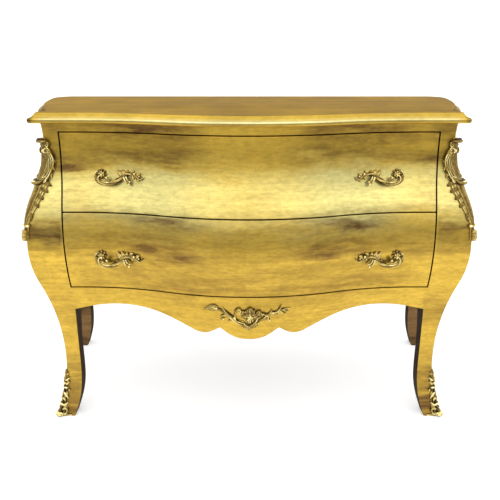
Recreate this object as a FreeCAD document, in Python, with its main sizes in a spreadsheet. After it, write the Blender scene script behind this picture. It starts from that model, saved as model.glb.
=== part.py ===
import FreeCAD, Part
import math
import os

Vector = FreeCAD.Vector

# Driving dimensions in millimetres, one cell each
SIZES = (
    # case
    ("overall_height", 850),
    ("drawer_opening_width", 940),
    ("post_size", 38),
    ("case_depth", 405),
    ("side_splay", 72),
    ("side_thickness", 22),
    ("side_arch", 26),
    # bombé profile, measured outwards from the neck
    ("front_bow", 65),
    ("bow_flat", 40),
    ("neck_drop", 41),
    ("belly_height", 512),
    ("belly_depth", 55),
    ("ankle_height", 190),
    ("ankle_offset", 8),
    ("toe_flare", 36),
    ("leg_height", 332),
    ("ankle_width", 40),
    # top
    ("top_thickness", 24),
    ("nose_thickness", 13),
    ("top_overhang", 26),
    ("top_rear_overhang", 8),
    ("cove_width", 11),
    ("nose_round", 5),
    ("top_corner_radius", 34),
    ("top_side_bulge", 12),
    # rails and boards
    ("frieze_height", 22),
    ("frieze_thickness", 22),
    ("apron_top_height", 403),
    ("apron_drop", 132),
    ("apron_thickness", 10),
    ("divider_depth", 46),
    ("rail_thickness", 22),
    ("rear_top_rail_height", 50),
    ("back_panel_thickness", 8),
    ("bottom_board_thickness", 10),
    ("board_fit", 0.4),
    # drawers and what carries them
    ("drawer_gap", 3),
    ("front_thickness", 22),
    ("box_lift", 5),
    ("box_side_thickness", 12),
    ("box_back_thickness", 12),
    ("box_back_drop", 12),
    ("box_bottom_thickness", 6),
    ("box_bottom_lift", 9),
    ("groove_depth", 6),
    ("groove_fit", 0.3),
    ("guide_thickness", 14),
    ("guide_height", 24),
    ("guide_clearance", 1),
    ("runner_width", 46),
    ("runner_height", 18),
    ("runner_clearance", 0.3),
    ("kicker_height", 30),
    ("kicker_clearance", 3),
    ("stop_length", 16),
    ("stop_width", 40),
    ("stop_height", 24),
    ("stop_spacing", 640),
    ("stop_clearance", 0.3),
    # cast mounts
    ("mount_clearance", 0.3),
    ("mount_thickness", 5),
    ("mount_relief", 4),
    ("chute_length", 250),
    ("chute_drop", 36),
    ("chute_width", 30),
    ("chute_curl_radius", 9),
    ("chute_bead_radius", 7),
    ("sabot_height", 140),
    ("sabot_width", 22),
    ("sabot_lift", 1),
    ("sabot_strip_height", 6),
    ("sabot_toe_radius", 10),
    ("garland_width", 228),
    ("garland_height", 84),
    ("garland_rise", 25),
    ("flower_radius", 21),
    # handles
    ("upper_handle_spread", 734),
    ("lower_handle_spread", 748),
    ("handle_drop", 6),
    ("handle_length", 120),
    ("handle_depth", 30),
    ("handle_projection", 24),
    ("handle_bar_radius", 4),
    ("rosette_radius", 14),
    ("rosette_thickness", 9),
    ("handle_post_radius", 6),
    ("chord_length", 32),
    ("cut_overrun", 5),
)

# Share of the drawer fronts' height that the lower one takes
LOWER_FRONT_SHARE = 0.5153

# Share of the upper S-curve's two radii that the belly takes
BELLY_RADIUS_SHARE = 0.4822

# Places worked out from the driving dimensions
PLACES = (
    ("case_height", "size.overall_height - size.top_thickness"),
    ("opening_half", "size.drawer_opening_width / 2"),
    ("neck_half", "opening_half + size.post_size"),
    ("rear_half", "neck_half + size.side_splay"),
    ("rear_inner", "rear_half - size.post_size"),
    ("neck_y", "(size.front_bow + size.belly_depth - size.case_depth - size.top_rear_overhang) / 2"),
    ("back_y", "neck_y + size.case_depth"),
    ("post_back_y", "neck_y + size.post_size"),
    ("rear_post_y", "back_y - size.post_size"),
    ("rail_back_y", "back_y - size.back_panel_thickness"),
    ("rail_front_y", "rail_back_y - size.rail_thickness"),
    ("frieze_bottom", "case_height - size.frieze_height"),
    ("neck_height", "case_height - size.neck_drop"),
    ("upper_front_top", "frieze_bottom - size.drawer_gap"),
    ("lower_front_bottom", "size.apron_top_height + size.drawer_gap"),
    ("fronts_height", "upper_front_top - lower_front_bottom - size.drawer_gap"),
    ("lower_front_top", f"lower_front_bottom + {LOWER_FRONT_SHARE} * fronts_height"),
    ("upper_front_bottom", "lower_front_top + size.drawer_gap"),
    ("apron_bottom", "size.apron_top_height - size.apron_drop"),
    ("front_half", "opening_half - size.drawer_gap"),
    ("frieze_inner_y", "neck_y + size.frieze_thickness"),
    ("apron_inner_y", "neck_y + size.apron_thickness"),
    ("upper_inner_y", "neck_y + size.front_thickness"),
    ("divider_front_y", "upper_inner_y + size.board_fit"),
    ("divider_back_y", "divider_front_y + size.divider_depth"),
    ("guide_inner", "opening_half - size.guide_thickness"),
    ("box_half", "guide_inner - size.guide_clearance"),
    ("box_inner", "box_half - size.box_side_thickness"),
    ("runner_inner", "opening_half - size.runner_width"),
    ("upper_box_bottom", "upper_front_bottom + size.box_lift"),
    ("lower_box_bottom", "lower_front_bottom + size.box_lift"),
    ("upper_runner_top", "upper_box_bottom - size.runner_clearance"),
    ("lower_runner_top", "lower_box_bottom - size.runner_clearance"),
    ("upper_runner_bottom", "upper_runner_top - size.runner_height"),
    ("lower_runner_bottom", "lower_runner_top - size.runner_height"),
    ("kicker_bottom", "case_height - size.kicker_height"),
    ("upper_box_top", "kicker_bottom - size.kicker_clearance"),
    ("lower_box_top", "upper_runner_bottom - size.kicker_clearance"),
    ("stop_front_y", "rail_front_y - size.stop_length"),
    ("box_back_y", "stop_front_y - size.stop_clearance"),
    ("board_bottom", "lower_runner_bottom - size.bottom_board_thickness"),
)

# Share of the belly by which the lower drawer front is hollowed forwards
LOWER_HOLLOW_SHARE = 0.65

# Leg's inner edge below the knee: share of the leg height, share of the ankle width inwards
LEG_INNER_SHARES = ((1, 0), (0.85, 0.08), (0.6, 0.15), (0.36, 0.17), (0.17, 0.34), (0, 0.76))

# Lower edge of the apron: share of the opening half-width, share of the apron drop
APRON_ARCH_SHARES = ((1, 0.54), (0.88, 0.44), (0.745, 0.385), (0.6, 0.42), (0.435, 0.6), (0.3, 0.845))
APRON_LOBE_SHARES = ((0.3, 0.845), (0.25, 0.875), (0.165, 0.73))
APRON_CENTRE_SHARES = ((0.165, 0.73), (0.1, 0.91), (0, 1))

# Inner edge of the corner mount's wing: share of its length from the top, share of its width
CHUTE_SHELL_SHARES = ((0, 0.1), (0.06, 0.5), (0.11, 0.42), (0.215, 0.9), (0.3, 0.8), (0.39, 0.72), (0.44, 0.5))
CHUTE_LEAF_SHARES = (
    (0.47, 1), (0.5, 0.5), (0.535, 0.76), (0.565, 0.36), (0.6, 0.62), (0.63, 0.46), (0.665, 0.62),
    (0.745, 0.2), (0.82, 0.05), (1, 0.12),
)
CHUTE_BEAD_SHARE = 0.9

# Inner edge of the foot mount's wing: share of its height from the top, share of its width
SABOT_LEAF_SHARES = (
    (0, 0.05), (0.16, 0.32), (0.2, 0.24), (0.27, 0.64), (0.34, 0.5), (0.46, 0.82), (0.52, 0.66), (0.62, 0.95),
    (0.76, 1), (0.9, 0.96),
)

# Garland of the apron: share of half its width, share of its height, half thickness as a share of its height
GARLAND_SHARES = (
    (-1, 0.81, 0.012), (-0.88, 0.88, 0.08), (-0.74, 0.86, 0.06), (-0.57, 0.78, 0.05), (-0.4, 0.59, 0.05),
    (-0.22, 0.4, 0.055), (0, 0.26, 0.085), (0.2, 0.42, 0.055), (0.4, 0.61, 0.05), (0.55, 0.73, 0.05),
    (0.7, 0.77, 0.05), (1, 0.82, 0.012),
)
# Its twigs: three corners each, in the same shares
TWIG_SHARES = (
    ((0.6, 0.72), (0.72, 0.76), (0.74, 1)),
    ((0.36, 0.6), (0.5, 0.66), (0.49, 0.42)),
    ((-0.62, 0.76), (-0.44, 0.62), (-0.66, 0.46)),
    ((-0.09, 0.26), (0.09, 0.26), (0, 0)),
)
FLOWER_PLACE_SHARES = (0.03, 0.6)
SCROLL_PLACE_SHARES = (-0.24, 0.66)
SCROLL_OUTER_SHARE = 0.19
SCROLL_INNER_SHARE = 0.11
PETAL_COUNT = 7
# Edge of one petal: share of its turn, share of the flower's radius
PETAL_SHARES = ((0, 0.82), (0.25, 0.97), (0.75, 0.97))

# Handle's bar from the rosette: shares of the handle's length and depth
HANDLE_PATH_SHARES = (
    (-0.12, -0.1), (-0.08, -0.62), (0.06, -0.92), (0.24, -1), (0.4, -0.72),
    (0.47, -0.15), (0.56, 0.12), (0.65, -0.3), (0.8, -0.42), (0.88, -0.1),
)
# Its arch away from the drawer: shares of the handle's length and projection
HANDLE_ARCH_SHARES = ((-0.2, 0.45), (0.1, 0.9), (0.3, 1), (0.6, 0.9), (0.95, 0.75))
# Its leaves: three corners each, in shares of length and depth
HANDLE_LEAF_SHARES = (
    ((0.4, -0.2), (0.48, 0), (0.35, 0.4)),
    ((0.46, 0), (0.6, 0.1), (0.48, 0.38)),
    ((0.5, -0.1), (0.6, -0.12), (0.6, -0.8)),
)
HANDLE_POST_SHARES = ((0, 0), (0.56, 0))
HANDLE_POST_TOP_SHARE = 0.75
# Underside and thickness of its leaves, in shares of its projection
HANDLE_LEAF_RISE_SHARE = 0.35
HANDLE_LEAF_THICKNESS_SHARE = 0.4

DRAWERS = ("upper", "lower")
SEAT_STEPS = 6
ROUND_SIDES = 10

doc = FreeCAD.newDocument("commode_chest")


def fill_sheet(name, rows, prefix):
    """Make a sheet with one aliased cell for each row."""
    sheet = doc.addObject("Spreadsheet::Sheet", name)
    for number, (alias, content) in enumerate(rows, start=1):
        sheet.set(f"A{number}", alias)
        sheet.set(f"B{number}", f"{prefix}{content}")
        sheet.setAlias(f"B{number}", alias)
    doc.recompute()
    return sheet


size_sheet = fill_sheet("size", SIZES, "")
place_sheet = fill_sheet("place", PLACES, "=")


def size(alias):
    return float(size_sheet.get(alias))


def place(alias):
    return float(place_sheet.get(alias))


# Bombé profile: tangent arcs through neck, belly and ankle

def tangent_radius(rise, depth, other_radius):
    """Radius of the arc that turns back an arc of other_radius over a rise and a depth."""
    return (rise ** 2 + depth ** 2) / (2 * depth) - other_radius


NECK_RISE = place("neck_height") - size("belly_height")
ANKLE_RISE = size("belly_height") - size("ankle_height")
ANKLE_DEPTH = size("belly_depth") - size("ankle_offset")
TOE_DEPTH = size("toe_flare") - size("ankle_offset")
BELLY_RADIUS = BELLY_RADIUS_SHARE * tangent_radius(NECK_RISE, size("belly_depth"), 0)
NECK_RADIUS = tangent_radius(NECK_RISE, size("belly_depth"), BELLY_RADIUS)
ANKLE_RADIUS = tangent_radius(ANKLE_RISE, ANKLE_DEPTH, BELLY_RADIUS)
TOE_RADIUS = tangent_radius(size("ankle_height"), TOE_DEPTH, 0)
UPPER_TURN = size("belly_height") + NECK_RISE * BELLY_RADIUS / (BELLY_RADIUS + NECK_RADIUS)
LOWER_TURN = size("belly_height") - ANKLE_RISE * BELLY_RADIUS / (BELLY_RADIUS + ANKLE_RADIUS)


def swell(z):
    """How far the case stands out from its neck at a height."""
    if z > UPPER_TURN:
        return NECK_RADIUS - math.sqrt(NECK_RADIUS ** 2 - (z - place("neck_height")) ** 2)
    if z > LOWER_TURN:
        return size("belly_depth") - BELLY_RADIUS + math.sqrt(BELLY_RADIUS ** 2 - (z - size("belly_height")) ** 2)
    radius = ANKLE_RADIUS if z > size("ankle_height") else TOE_RADIUS
    return size("ankle_offset") + radius - math.sqrt(radius ** 2 - (z - size("ankle_height")) ** 2)


def swell_arcs(base, outward, low, high):
    """Arcs of the profile from low to high, with outward +1 or -1 along the sketch's first axis."""
    turns = (size("ankle_height"), LOWER_TURN, UPPER_TURN)
    levels = [low] + [turn for turn in turns if low < turn < high] + [high]
    arcs = []
    for start, end in zip(levels, levels[1:]):
        heights = (start, (start + end) / 2, end)
        arcs.append(Part.Arc(*(Vector(base + outward * swell(z), z, 0) for z in heights)))
    return arcs


def chord_count(rise):
    return max(round(rise / size("chord_length")), 1)


def swell_chords(base, outward, low, high):
    """Straight runs that follow the profile from low to high."""
    runs = chord_count(high - low)
    levels = [low + (high - low) * number / runs for number in range(runs + 1)]
    return lines([Vector(base + outward * swell(z), z, 0) for z in levels])


# Serpentine plan of the front: flat by the posts, then two arcs each way

BOW_REACH = place("opening_half") - size("bow_flat")
BOW_RADIUS = (BOW_REACH ** 2 + size("front_bow") ** 2) / (4 * size("front_bow"))
BOW_ANGLE = math.asin(BOW_REACH / 2 / BOW_RADIUS)


def bow(x):
    """How far the front stands forward of the posts at a distance from the middle."""
    reach = abs(x)
    if reach > BOW_REACH:
        return 0
    if reach > BOW_REACH / 2:
        return BOW_RADIUS - math.sqrt(BOW_RADIUS ** 2 - (BOW_REACH - reach) ** 2)
    return size("front_bow") - BOW_RADIUS + math.sqrt(BOW_RADIUS ** 2 - reach ** 2)


def serpentine(y, half, grow=0):
    """Plan of the front from left to right, grown forwards by a parallel distance."""
    hollow = BOW_RADIUS - grow
    round_part = BOW_RADIUS + grow
    middle_y = y - size("front_bow") + BOW_RADIUS

    def on_hollow(angle):
        return Vector(BOW_REACH - hollow * math.sin(angle), y - BOW_RADIUS + hollow * math.cos(angle), 0)

    right = [Vector(half, y - grow, 0), on_hollow(0), on_hollow(BOW_ANGLE / 2), on_hollow(BOW_ANGLE)]
    left = [Vector(-point.x, point.y, 0) for point in right]
    return [
        Part.LineSegment(left[0], left[1]),
        Part.Arc(left[1], left[2], left[3]),
        Part.Arc(left[3], Vector(0, middle_y - round_part, 0), right[3]),
        Part.Arc(right[3], right[2], right[1]),
        Part.LineSegment(right[1], right[0]),
    ]


def lines(points):
    return [Part.LineSegment(start, end) for start, end in zip(points, points[1:])]


def spline(points):
    curve = Part.BSplineCurve()
    curve.interpolate(points)
    return curve


def flat_face(geometry):
    """Face bounded by a closed run of curves."""
    edges = [curve.toShape() for curve in geometry]
    return Part.Face(Part.Wire(Part.__sortEdges__(edges)))


def upright(face):
    """Turn a face drawn as width and height into the upright plane across the front."""
    return face.rotated(Vector(0, 0, 0), Vector(1, 0, 0), 90)


def sideways(face):
    """Turn a face drawn as depth and height into the upright plane along the side."""
    turned = upright(face)
    return turned.rotated(Vector(0, 0, 0), Vector(0, 0, 1), 90)


# Makers of document objects

def box(label, x, y, z):
    """Board between pairs of bound places."""
    board = doc.addObject("Part::Box", label)
    for side, axis, (low, high) in zip(("Length", "Width", "Height"), "xyz", (x, y, z)):
        board.setExpression(side, f"({high}) - ({low})")
        board.setExpression(f"Placement.Base.{axis}", low)
    return board


def mirrored_pair(label, x, y, z):
    """The same board on the left and on the right."""
    low, high = x
    return (
        box(label.format(side="left"), (f"-({high})", f"-({low})"), y, z),
        box(label.format(side="right"), x, y, z),
    )


def feature(label, shape):
    solid = doc.addObject("Part::Feature", label)
    solid.Shape = shape
    return solid


def mirror(label, source):
    """Twin of a piece on the other side of the middle."""
    twin = doc.addObject("Part::Mirroring", label)
    twin.Source = source
    twin.Base = Vector(0, 0, 0)
    twin.Normal = Vector(1, 0, 0)
    return twin


def boolean(kind, label, base, tool):
    result = doc.addObject(kind, label)
    result.Base = base
    result.Tool = tool
    return result


def sketch_on(body, name, plane, geometry, offset=None):
    """Sketch on one of the body's own planes, set off along its normal by a bound distance."""
    sketch = body.newObject("Sketcher::SketchObject", name)
    planes = {origin.Role: origin for origin in body.Origin.OriginFeatures}
    sketch.AttachmentSupport = [(planes[plane], "")]
    sketch.MapMode = "FlatFace"
    if offset:
        sketch.setExpression("AttachmentOffset.Base.z", offset)
    sketch.addGeometry(geometry, False)
    return sketch


def pad_body(label, plane, geometry, offset, length, reverse=False):
    body = doc.addObject("PartDesign::Body", label)
    sketch = sketch_on(body, f"{label}_outline", plane, geometry, offset)
    pad = body.newObject("PartDesign::Pad", f"{label}_pad")
    pad.Profile = sketch
    pad.setExpression("Length", length)
    pad.Reversed = reverse
    return body


def lean_pad(body, direction):
    """Let a pad run at a slant, its length still measured square to its sketch."""
    pad = body.Tip
    pad.UseCustomVector = True
    pad.Direction = direction
    pad.Reversed = False
    pad.AlongSketchNormal = True


def pipe_body(label, profile_plane, profile, profile_offset, path):
    """Sweep that keeps the profile's direction, so that it moves along the plan without turning."""
    body = doc.addObject("PartDesign::Body", label)
    section = sketch_on(body, f"{label}_profile", profile_plane, profile, profile_offset)
    plan = sketch_on(body, f"{label}_plan", "XY_Plane", path)
    doc.recompute()
    pipe = body.newObject("PartDesign::AdditivePipe", f"{label}_sweep")
    pipe.Profile = section
    pipe.Spine = (plan, [f"Edge{number}" for number in range(1, len(path) + 1)])
    pipe.Mode = "Fixed"
    return body


def front_body(label, half_alias, low, high, inner_y):
    """Piece of the bombé front with a straight back, between two heights."""
    front_low = Vector(place("neck_y") - swell(low), low, 0)
    front_high = Vector(place("neck_y") - swell(high), high, 0)
    profile = swell_arcs(place("neck_y"), -1, low, high)
    profile += lines([front_high, Vector(inner_y, high, 0), Vector(inner_y, low, 0), front_low])
    path = serpentine(place("neck_y"), place(half_alias))
    return pipe_body(label, "YZ_Plane", profile, f"-place.{half_alias}", path)


def plan_board(label, front_y, half, corners, bottom, thickness):
    """Flat board whose front edge follows the bow, with corners from its right front end to the back."""
    right = [Vector(half, front_y, 0)] + [Vector(x, y, 0) for x, y in corners]
    left = [Vector(-point.x, point.y, 0) for point in reversed(right)]
    geometry = serpentine(front_y, half) + lines(right + left)
    return pad_body(label, "XY_Plane", geometry, bottom, thickness)


# Case

def side_arc_centre(radius):
    """Centre of the arc that the top follows along a side, before its overhang."""
    start = Vector(place("neck_half"), place("post_back_y"), 0)
    end = Vector(place("rear_half"), place("rear_post_y"), 0)
    chord = end - start
    middle = (start + end) / 2
    inward = Vector(-chord.y, chord.x, 0).normalize()
    return middle + inward * (radius - size("top_side_bulge"))


def side_radius():
    chord = math.hypot(size("side_splay"), place("rear_post_y") - place("post_back_y"))
    return (chord ** 2 / 4 + size("top_side_bulge") ** 2) / (2 * size("top_side_bulge"))


def top_outline(grow):
    """Plan of the top, parallel to the case at a distance outside its neck."""
    radius = side_radius() + grow
    centre = side_arc_centre(side_radius())
    ear_x = place("neck_half") + grow
    ear_y = place("neck_y") - grow
    back = place("back_y") + size("top_rear_overhang")
    corner = size("top_corner_radius")

    def on_side(y):
        return Vector(centre.x + math.sqrt(radius ** 2 - (y - centre.y) ** 2), y, 0)

    notch_y = centre.y - math.sqrt(radius ** 2 - (ear_x - centre.x) ** 2)
    notch = Vector(ear_x, notch_y, 0)
    turn = on_side(back - corner)
    turn_end = Vector(turn.x - corner, back, 0)
    turn_bulge = corner * math.sqrt(0.5)
    turn_middle = Vector(turn.x - corner + turn_bulge, back - corner + turn_bulge, 0)
    side_middle = on_side((notch_y + turn.y) / 2)
    right = [
        Part.LineSegment(Vector(ear_x, ear_y, 0), notch),
        Part.Arc(notch, side_middle, turn),
        Part.Arc(turn, turn_middle, turn_end),
    ]
    flip = FreeCAD.Matrix()
    flip.scale(Vector(-1, 1, 1))
    left = [Part.Arc(*(flip * point for point in points)) for points in
            ((turn_end, turn_middle, turn), (turn, side_middle, notch))]
    left.append(Part.LineSegment(flip * notch, flip * Vector(ear_x, ear_y, 0)))
    back_edge = Part.LineSegment(turn_end, flip * turn_end)
    return serpentine(place("neck_y"), ear_x, grow) + right + [back_edge] + left


def outline_wire(grow, z):
    wire = Part.Wire([curve.toShape() for curve in top_outline(grow)])
    wire.translate(Vector(0, 0, z))
    return wire


def make_top():
    """Board with a rounded nose below and a hollow moulding above it."""
    low = place("case_height")
    middle = low + size("nose_thickness")
    overhang = size("top_overhang")
    nose = Part.makeLoft([
        outline_wire(overhang - size("nose_round"), low),
        outline_wire(overhang, low + size("nose_thickness") / 3),
        outline_wire(overhang, middle - size("nose_thickness") / 3),
        outline_wire(overhang - size("nose_round"), middle),
    ], True, True)
    cove_foot = overhang - size("nose_round")
    rise = size("overall_height") - middle
    cove_shares = ((0, 0), (0.4, 0.62), (1, 1))
    cove = Part.makeLoft([
        outline_wire(cove_foot - size("cove_width") * run_share, middle + rise * rise_share)
        for rise_share, run_share in cove_shares
    ], True, True)
    feature("top_panel", nose.fuse(cove).removeSplitter())


def leg_outline(base, inner, outward):
    """Front view of a corner post and its cabriole leg, between the outer curve and an inner edge."""
    top = place("case_height")
    knee = size("leg_height")
    outer = swell_arcs(base, outward, 0, top)
    leg_inner = spline([
        Vector(inner + outward * inward_share * size("ankle_width"), height_share * knee, 0)
        for height_share, inward_share in LEG_INNER_SHARES
    ])
    upper = lines([Vector(base + outward * swell(top), top, 0), Vector(inner, top, 0), Vector(inner, knee, 0)])
    foot = Vector(inner + outward * LEG_INNER_SHARES[-1][1] * size("ankle_width"), 0, 0)
    sole = lines([foot, Vector(base + outward * swell(0), 0, 0)])
    return outer + upper + [leg_inner] + sole


def make_front_legs():
    """Posts sawn to the same curve on their front and on their side."""
    across = upright(flat_face(leg_outline(place("neck_half"), place("opening_half"), 1)))
    along = sideways(flat_face(leg_outline(place("neck_y"), place("post_back_y"), -1)))
    reach = size("case_depth")
    front = across.translated(Vector(0, place("neck_y") - reach, 0)).extrude(Vector(0, 2 * reach, 0))
    side = along.extrude(Vector(2 * place("rear_half"), 0, 0))
    front_view = feature("front_leg_front_view", front)
    side_view = feature("front_leg_side_view", side)
    right = boolean("Part::Common", "front_right_leg", front_view, side_view)
    mirror("front_left_leg", right)


def make_rear_legs():
    """Rear posts with the same curve to the side and a flat back."""
    outline = leg_outline(place("rear_half"), place("rear_inner"), 1)
    right = pad_body("rear_right_leg", "XZ_Plane", outline, "-place.back_y", "size.post_size")
    mirror("rear_left_leg", right)


def make_sides():
    """Bombé sides with flat staves inside, arched below, that splay towards the back."""
    low = size("leg_height")
    high = place("case_height")
    outer = place("neck_half")
    inner = outer - size("side_thickness")
    profile = swell_arcs(outer, 1, low, high) + swell_chords(inner, 1, low, high)
    for z in (low, high):
        profile += lines([Vector(outer + swell(z), z, 0), Vector(inner + swell(z), z, 0)])
    deep = "place.rear_post_y - place.post_back_y"
    blank = pad_body("side_blank", "XZ_Plane", profile, "-place.post_back_y", deep, True)
    splay = Vector(size("side_splay"), place("rear_post_y") - place("post_back_y"), 0)
    lean_pad(blank, splay)
    start = Vector(place("post_back_y"), low, 0)
    end = Vector(place("rear_post_y"), low, 0)
    crown = (start + end) / 2 + Vector(0, size("side_arch"), 0)
    arch_face = sideways(flat_face([Part.Arc(start, crown, end), Part.LineSegment(end, start)]))
    arch = feature("side_arch_cutter", arch_face.extrude(Vector(2 * place("rear_half"), 0, 0)))
    right = boolean("Part::Cut", "right_side_panel", blank, arch)
    mirror("left_side_panel", right)


def make_front_rails():
    """Frieze above the drawers, divider behind them and scalloped apron below."""
    front_body("frieze_rail", "opening_half", place("frieze_bottom"), place("case_height"), place("frieze_inner_y"))
    plan_board(
        "divider_rail", place("divider_front_y"), place("opening_half"),
        [(place("opening_half"), place("divider_back_y"))], "place.upper_runner_bottom", "size.runner_height",
    )
    blank = front_body(
        "apron_blank", "opening_half", place("apron_bottom"), size("apron_top_height"), place("apron_inner_y"))
    outline = feature("apron_outline", apron_prism())
    boolean("Part::Common", "front_apron", blank, outline)


def apron_prism():
    """Front view of the apron, taken through its whole depth."""
    half = place("opening_half")
    top = size("apron_top_height")

    def run(shares, side):
        points = [Vector(side * x * half, top - z * size("apron_drop"), 0) for x, z in shares]
        return spline(points)

    edge = []
    for side in (-1, 1):
        edge += [run(shares, side) for shares in (APRON_ARCH_SHARES, APRON_LOBE_SHARES)]
    centre_right = [(x, z) for x, z in APRON_CENTRE_SHARES]
    centre_left = [(-x, z) for x, z in reversed(centre_right[:-1])]
    edge.append(run(centre_right + centre_left, 1))
    end_z = top - APRON_ARCH_SHARES[0][1] * size("apron_drop")
    frame = lines([Vector(-half, end_z, 0), Vector(-half, top, 0), Vector(half, top, 0), Vector(half, end_z, 0)])
    face = upright(flat_face(edge + frame))
    depth = size("front_bow") + size("belly_depth") + size("case_depth")
    return face.translated(Vector(0, place("neck_y") - depth, 0)).extrude(Vector(0, 2 * depth, 0))


def make_back():
    """Plywood back let in between the rear posts, on three rails."""
    across = ("-place.rear_inner", "place.rear_inner")
    deep = ("place.rail_front_y", "place.rail_back_y")
    box("rear_top_rail", across, deep, ("place.case_height - size.rear_top_rail_height", "place.case_height"))
    above_runner = "size.guide_height + size.stop_height"
    box("rear_middle_rail", across, deep,
        ("place.upper_runner_bottom", f"place.upper_runner_top + {above_runner}"))
    box("rear_bottom_rail", across, deep, ("size.leg_height", f"place.lower_runner_top + {above_runner}"))
    box("back_panel", across, ("place.rail_back_y", "place.back_y"), ("size.leg_height", "place.case_height"))


def make_bottom_board():
    """Dust board under the lower drawer, cut round the posts and wide to the sides."""
    fit = size("board_fit")
    side_inner = swell(place("board_bottom")) - size("side_thickness") - fit
    corners = [
        (place("opening_half"), place("post_back_y") + fit),
        (place("neck_half") + side_inner, place("post_back_y") + fit),
        (place("rear_half") + side_inner, place("rear_post_y") - fit),
        (place("rear_inner") - fit, place("rear_post_y") - fit),
        (place("rear_inner") - fit, place("rail_front_y")),
    ]
    plan_board("bottom_board", place("apron_inner_y") + fit, place("opening_half"), corners,
               "place.board_bottom", "size.bottom_board_thickness")


def make_runners():
    """Rebated runners with a guide beside each drawer, stops behind it and kickers under the top."""
    fronts = {"upper": "place.divider_back_y", "lower": "place.post_back_y"}
    for drawer in DRAWERS:
        deep = (fronts[drawer], "place.rail_front_y")
        top = f"place.{drawer}_runner_top"
        high = (f"place.{drawer}_runner_bottom", f"{top} + size.guide_height")
        battens = mirrored_pair(drawer + "_{side}_batten", ("place.runner_inner", "place.opening_half"), deep, high)
        over = (top, f"{top} + size.guide_height + size.cut_overrun")
        past = ("place.runner_inner - size.cut_overrun", "place.guide_inner")
        deeper = (f"{deep[0]} - size.cut_overrun", f"{deep[1]} + size.cut_overrun")
        rebates = mirrored_pair(drawer + "_{side}_rebate", past, deeper, over)
        for side, batten, rebate in zip(("left", "right"), battens, rebates):
            boolean("Part::Cut", f"{drawer}_{side}_runner", batten, rebate)
        low = f"{top} + size.guide_height"
        stops = mirrored_pair(
            drawer + "_{side}_stop",
            ("size.stop_spacing / 2", "size.stop_spacing / 2 + size.stop_width"),
            ("place.stop_front_y", "place.rail_front_y"), (low, f"{low} + size.stop_height"),
        )
        group = doc.addObject("Part::Compound", f"{drawer}_drawer_stops")
        group.Links = list(stops)
    mirrored_pair("{side}_kicker", ("place.box_inner", "place.opening_half"),
                  ("place.frieze_inner_y", "place.rail_front_y"), ("place.kicker_bottom", "place.case_height"))


# Drawers

def drawer_inner_y(drawer):
    """Where the inside of a drawer's front is, beside the drawer's sides."""
    hollow = LOWER_HOLLOW_SHARE * size("belly_depth") if drawer == "lower" else 0
    return place("upper_inner_y") - hollow


def make_drawer(drawer):
    """Drawer with a solid bombé front, grooved sides, a back and a loose bottom."""
    low = place(f"{drawer}_front_bottom")
    high = place(f"{drawer}_front_top")
    inner_y = drawer_inner_y(drawer)
    front_body(f"{drawer}_drawer_front", "front_half", low, high, inner_y)
    make_handles(drawer)
    hollow = f" - {LOWER_HOLLOW_SHARE} * size.belly_depth" if drawer == "lower" else ""
    bottom = f"place.{drawer}_box_bottom"
    deep = (f"place.upper_inner_y{hollow}", "place.box_back_y")
    tall = (bottom, f"place.{drawer}_box_top")
    boards = mirrored_pair(drawer + "_{side}_board", ("place.box_inner", "place.box_half"), deep, tall)
    panel_low = f"{bottom} + size.box_bottom_lift"
    panel_high = f"{panel_low} + size.box_bottom_thickness"
    grooves = mirrored_pair(
        drawer + "_{side}_groove",
        ("place.box_inner - size.cut_overrun", "place.box_inner + size.groove_depth"),
        (f"{deep[0]} - size.cut_overrun", f"{deep[1]} + size.cut_overrun"),
        (f"{panel_low} - size.groove_fit", f"{panel_high} + size.groove_fit"),
    )
    for side, board, groove in zip(("left", "right"), boards, grooves):
        boolean("Part::Cut", f"{drawer}_drawer_{side}_side", board, groove)
    box(f"{drawer}_drawer_back", ("-place.box_inner", "place.box_inner"),
        ("place.box_back_y - size.box_back_thickness", "place.box_back_y"),
        (panel_high, f"place.{drawer}_box_top - size.box_back_drop"))
    panel_half = place("box_inner") + size("groove_depth") - size("groove_fit")
    plan_board(f"{drawer}_drawer_bottom", inner_y + size("board_fit"), panel_half,
               [(panel_half, place("box_back_y"))], panel_low, "size.box_bottom_thickness")


# Handles, drawn in a frame with x along the drawer, y up it and z out of it

def surface_frame(x, z):
    """Placement on the bombé front with its z axis square to the surface."""
    step = size("mount_clearance")
    along = Vector(2 * step, bow(x - step) - bow(x + step), 0).normalize()
    up = Vector(0, swell(z - step) - swell(z + step), 2 * step).normalize()
    out = along.cross(up).normalize()
    point = Vector(x, place("neck_y") - bow(x) - swell(z), z)
    return FreeCAD.Placement(point, FreeCAD.Rotation(along, out.cross(along), out, "ZXY"))


def scalloped_disc(radius, thickness):
    """Flower of equal petals, as a prism on the frame's plane."""
    points = []
    for number in range(PETAL_COUNT):
        for turn_share, reach_share in PETAL_SHARES:
            angle = 2 * math.pi * (number + turn_share) / PETAL_COUNT
            points.append(Vector(math.cos(angle), math.sin(angle), 0) * radius * reach_share)
    return flat_face(lines(points + points[:1])).extrude(Vector(0, 0, thickness))


def strip_face(points, half_width):
    """Strip of even width along a run of points."""
    near = []
    far = []
    for number, point in enumerate(points):
        before = points[max(number - 1, 0)]
        after = points[min(number + 1, len(points) - 1)]
        along = (after - before).normalize()
        across = Vector(-along.y, along.x, 0) * half_width
        near.append(point + across)
        far.append(point - across)
    outline = near + far[::-1]
    return flat_face(lines(outline + outline[:1]))


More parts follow.
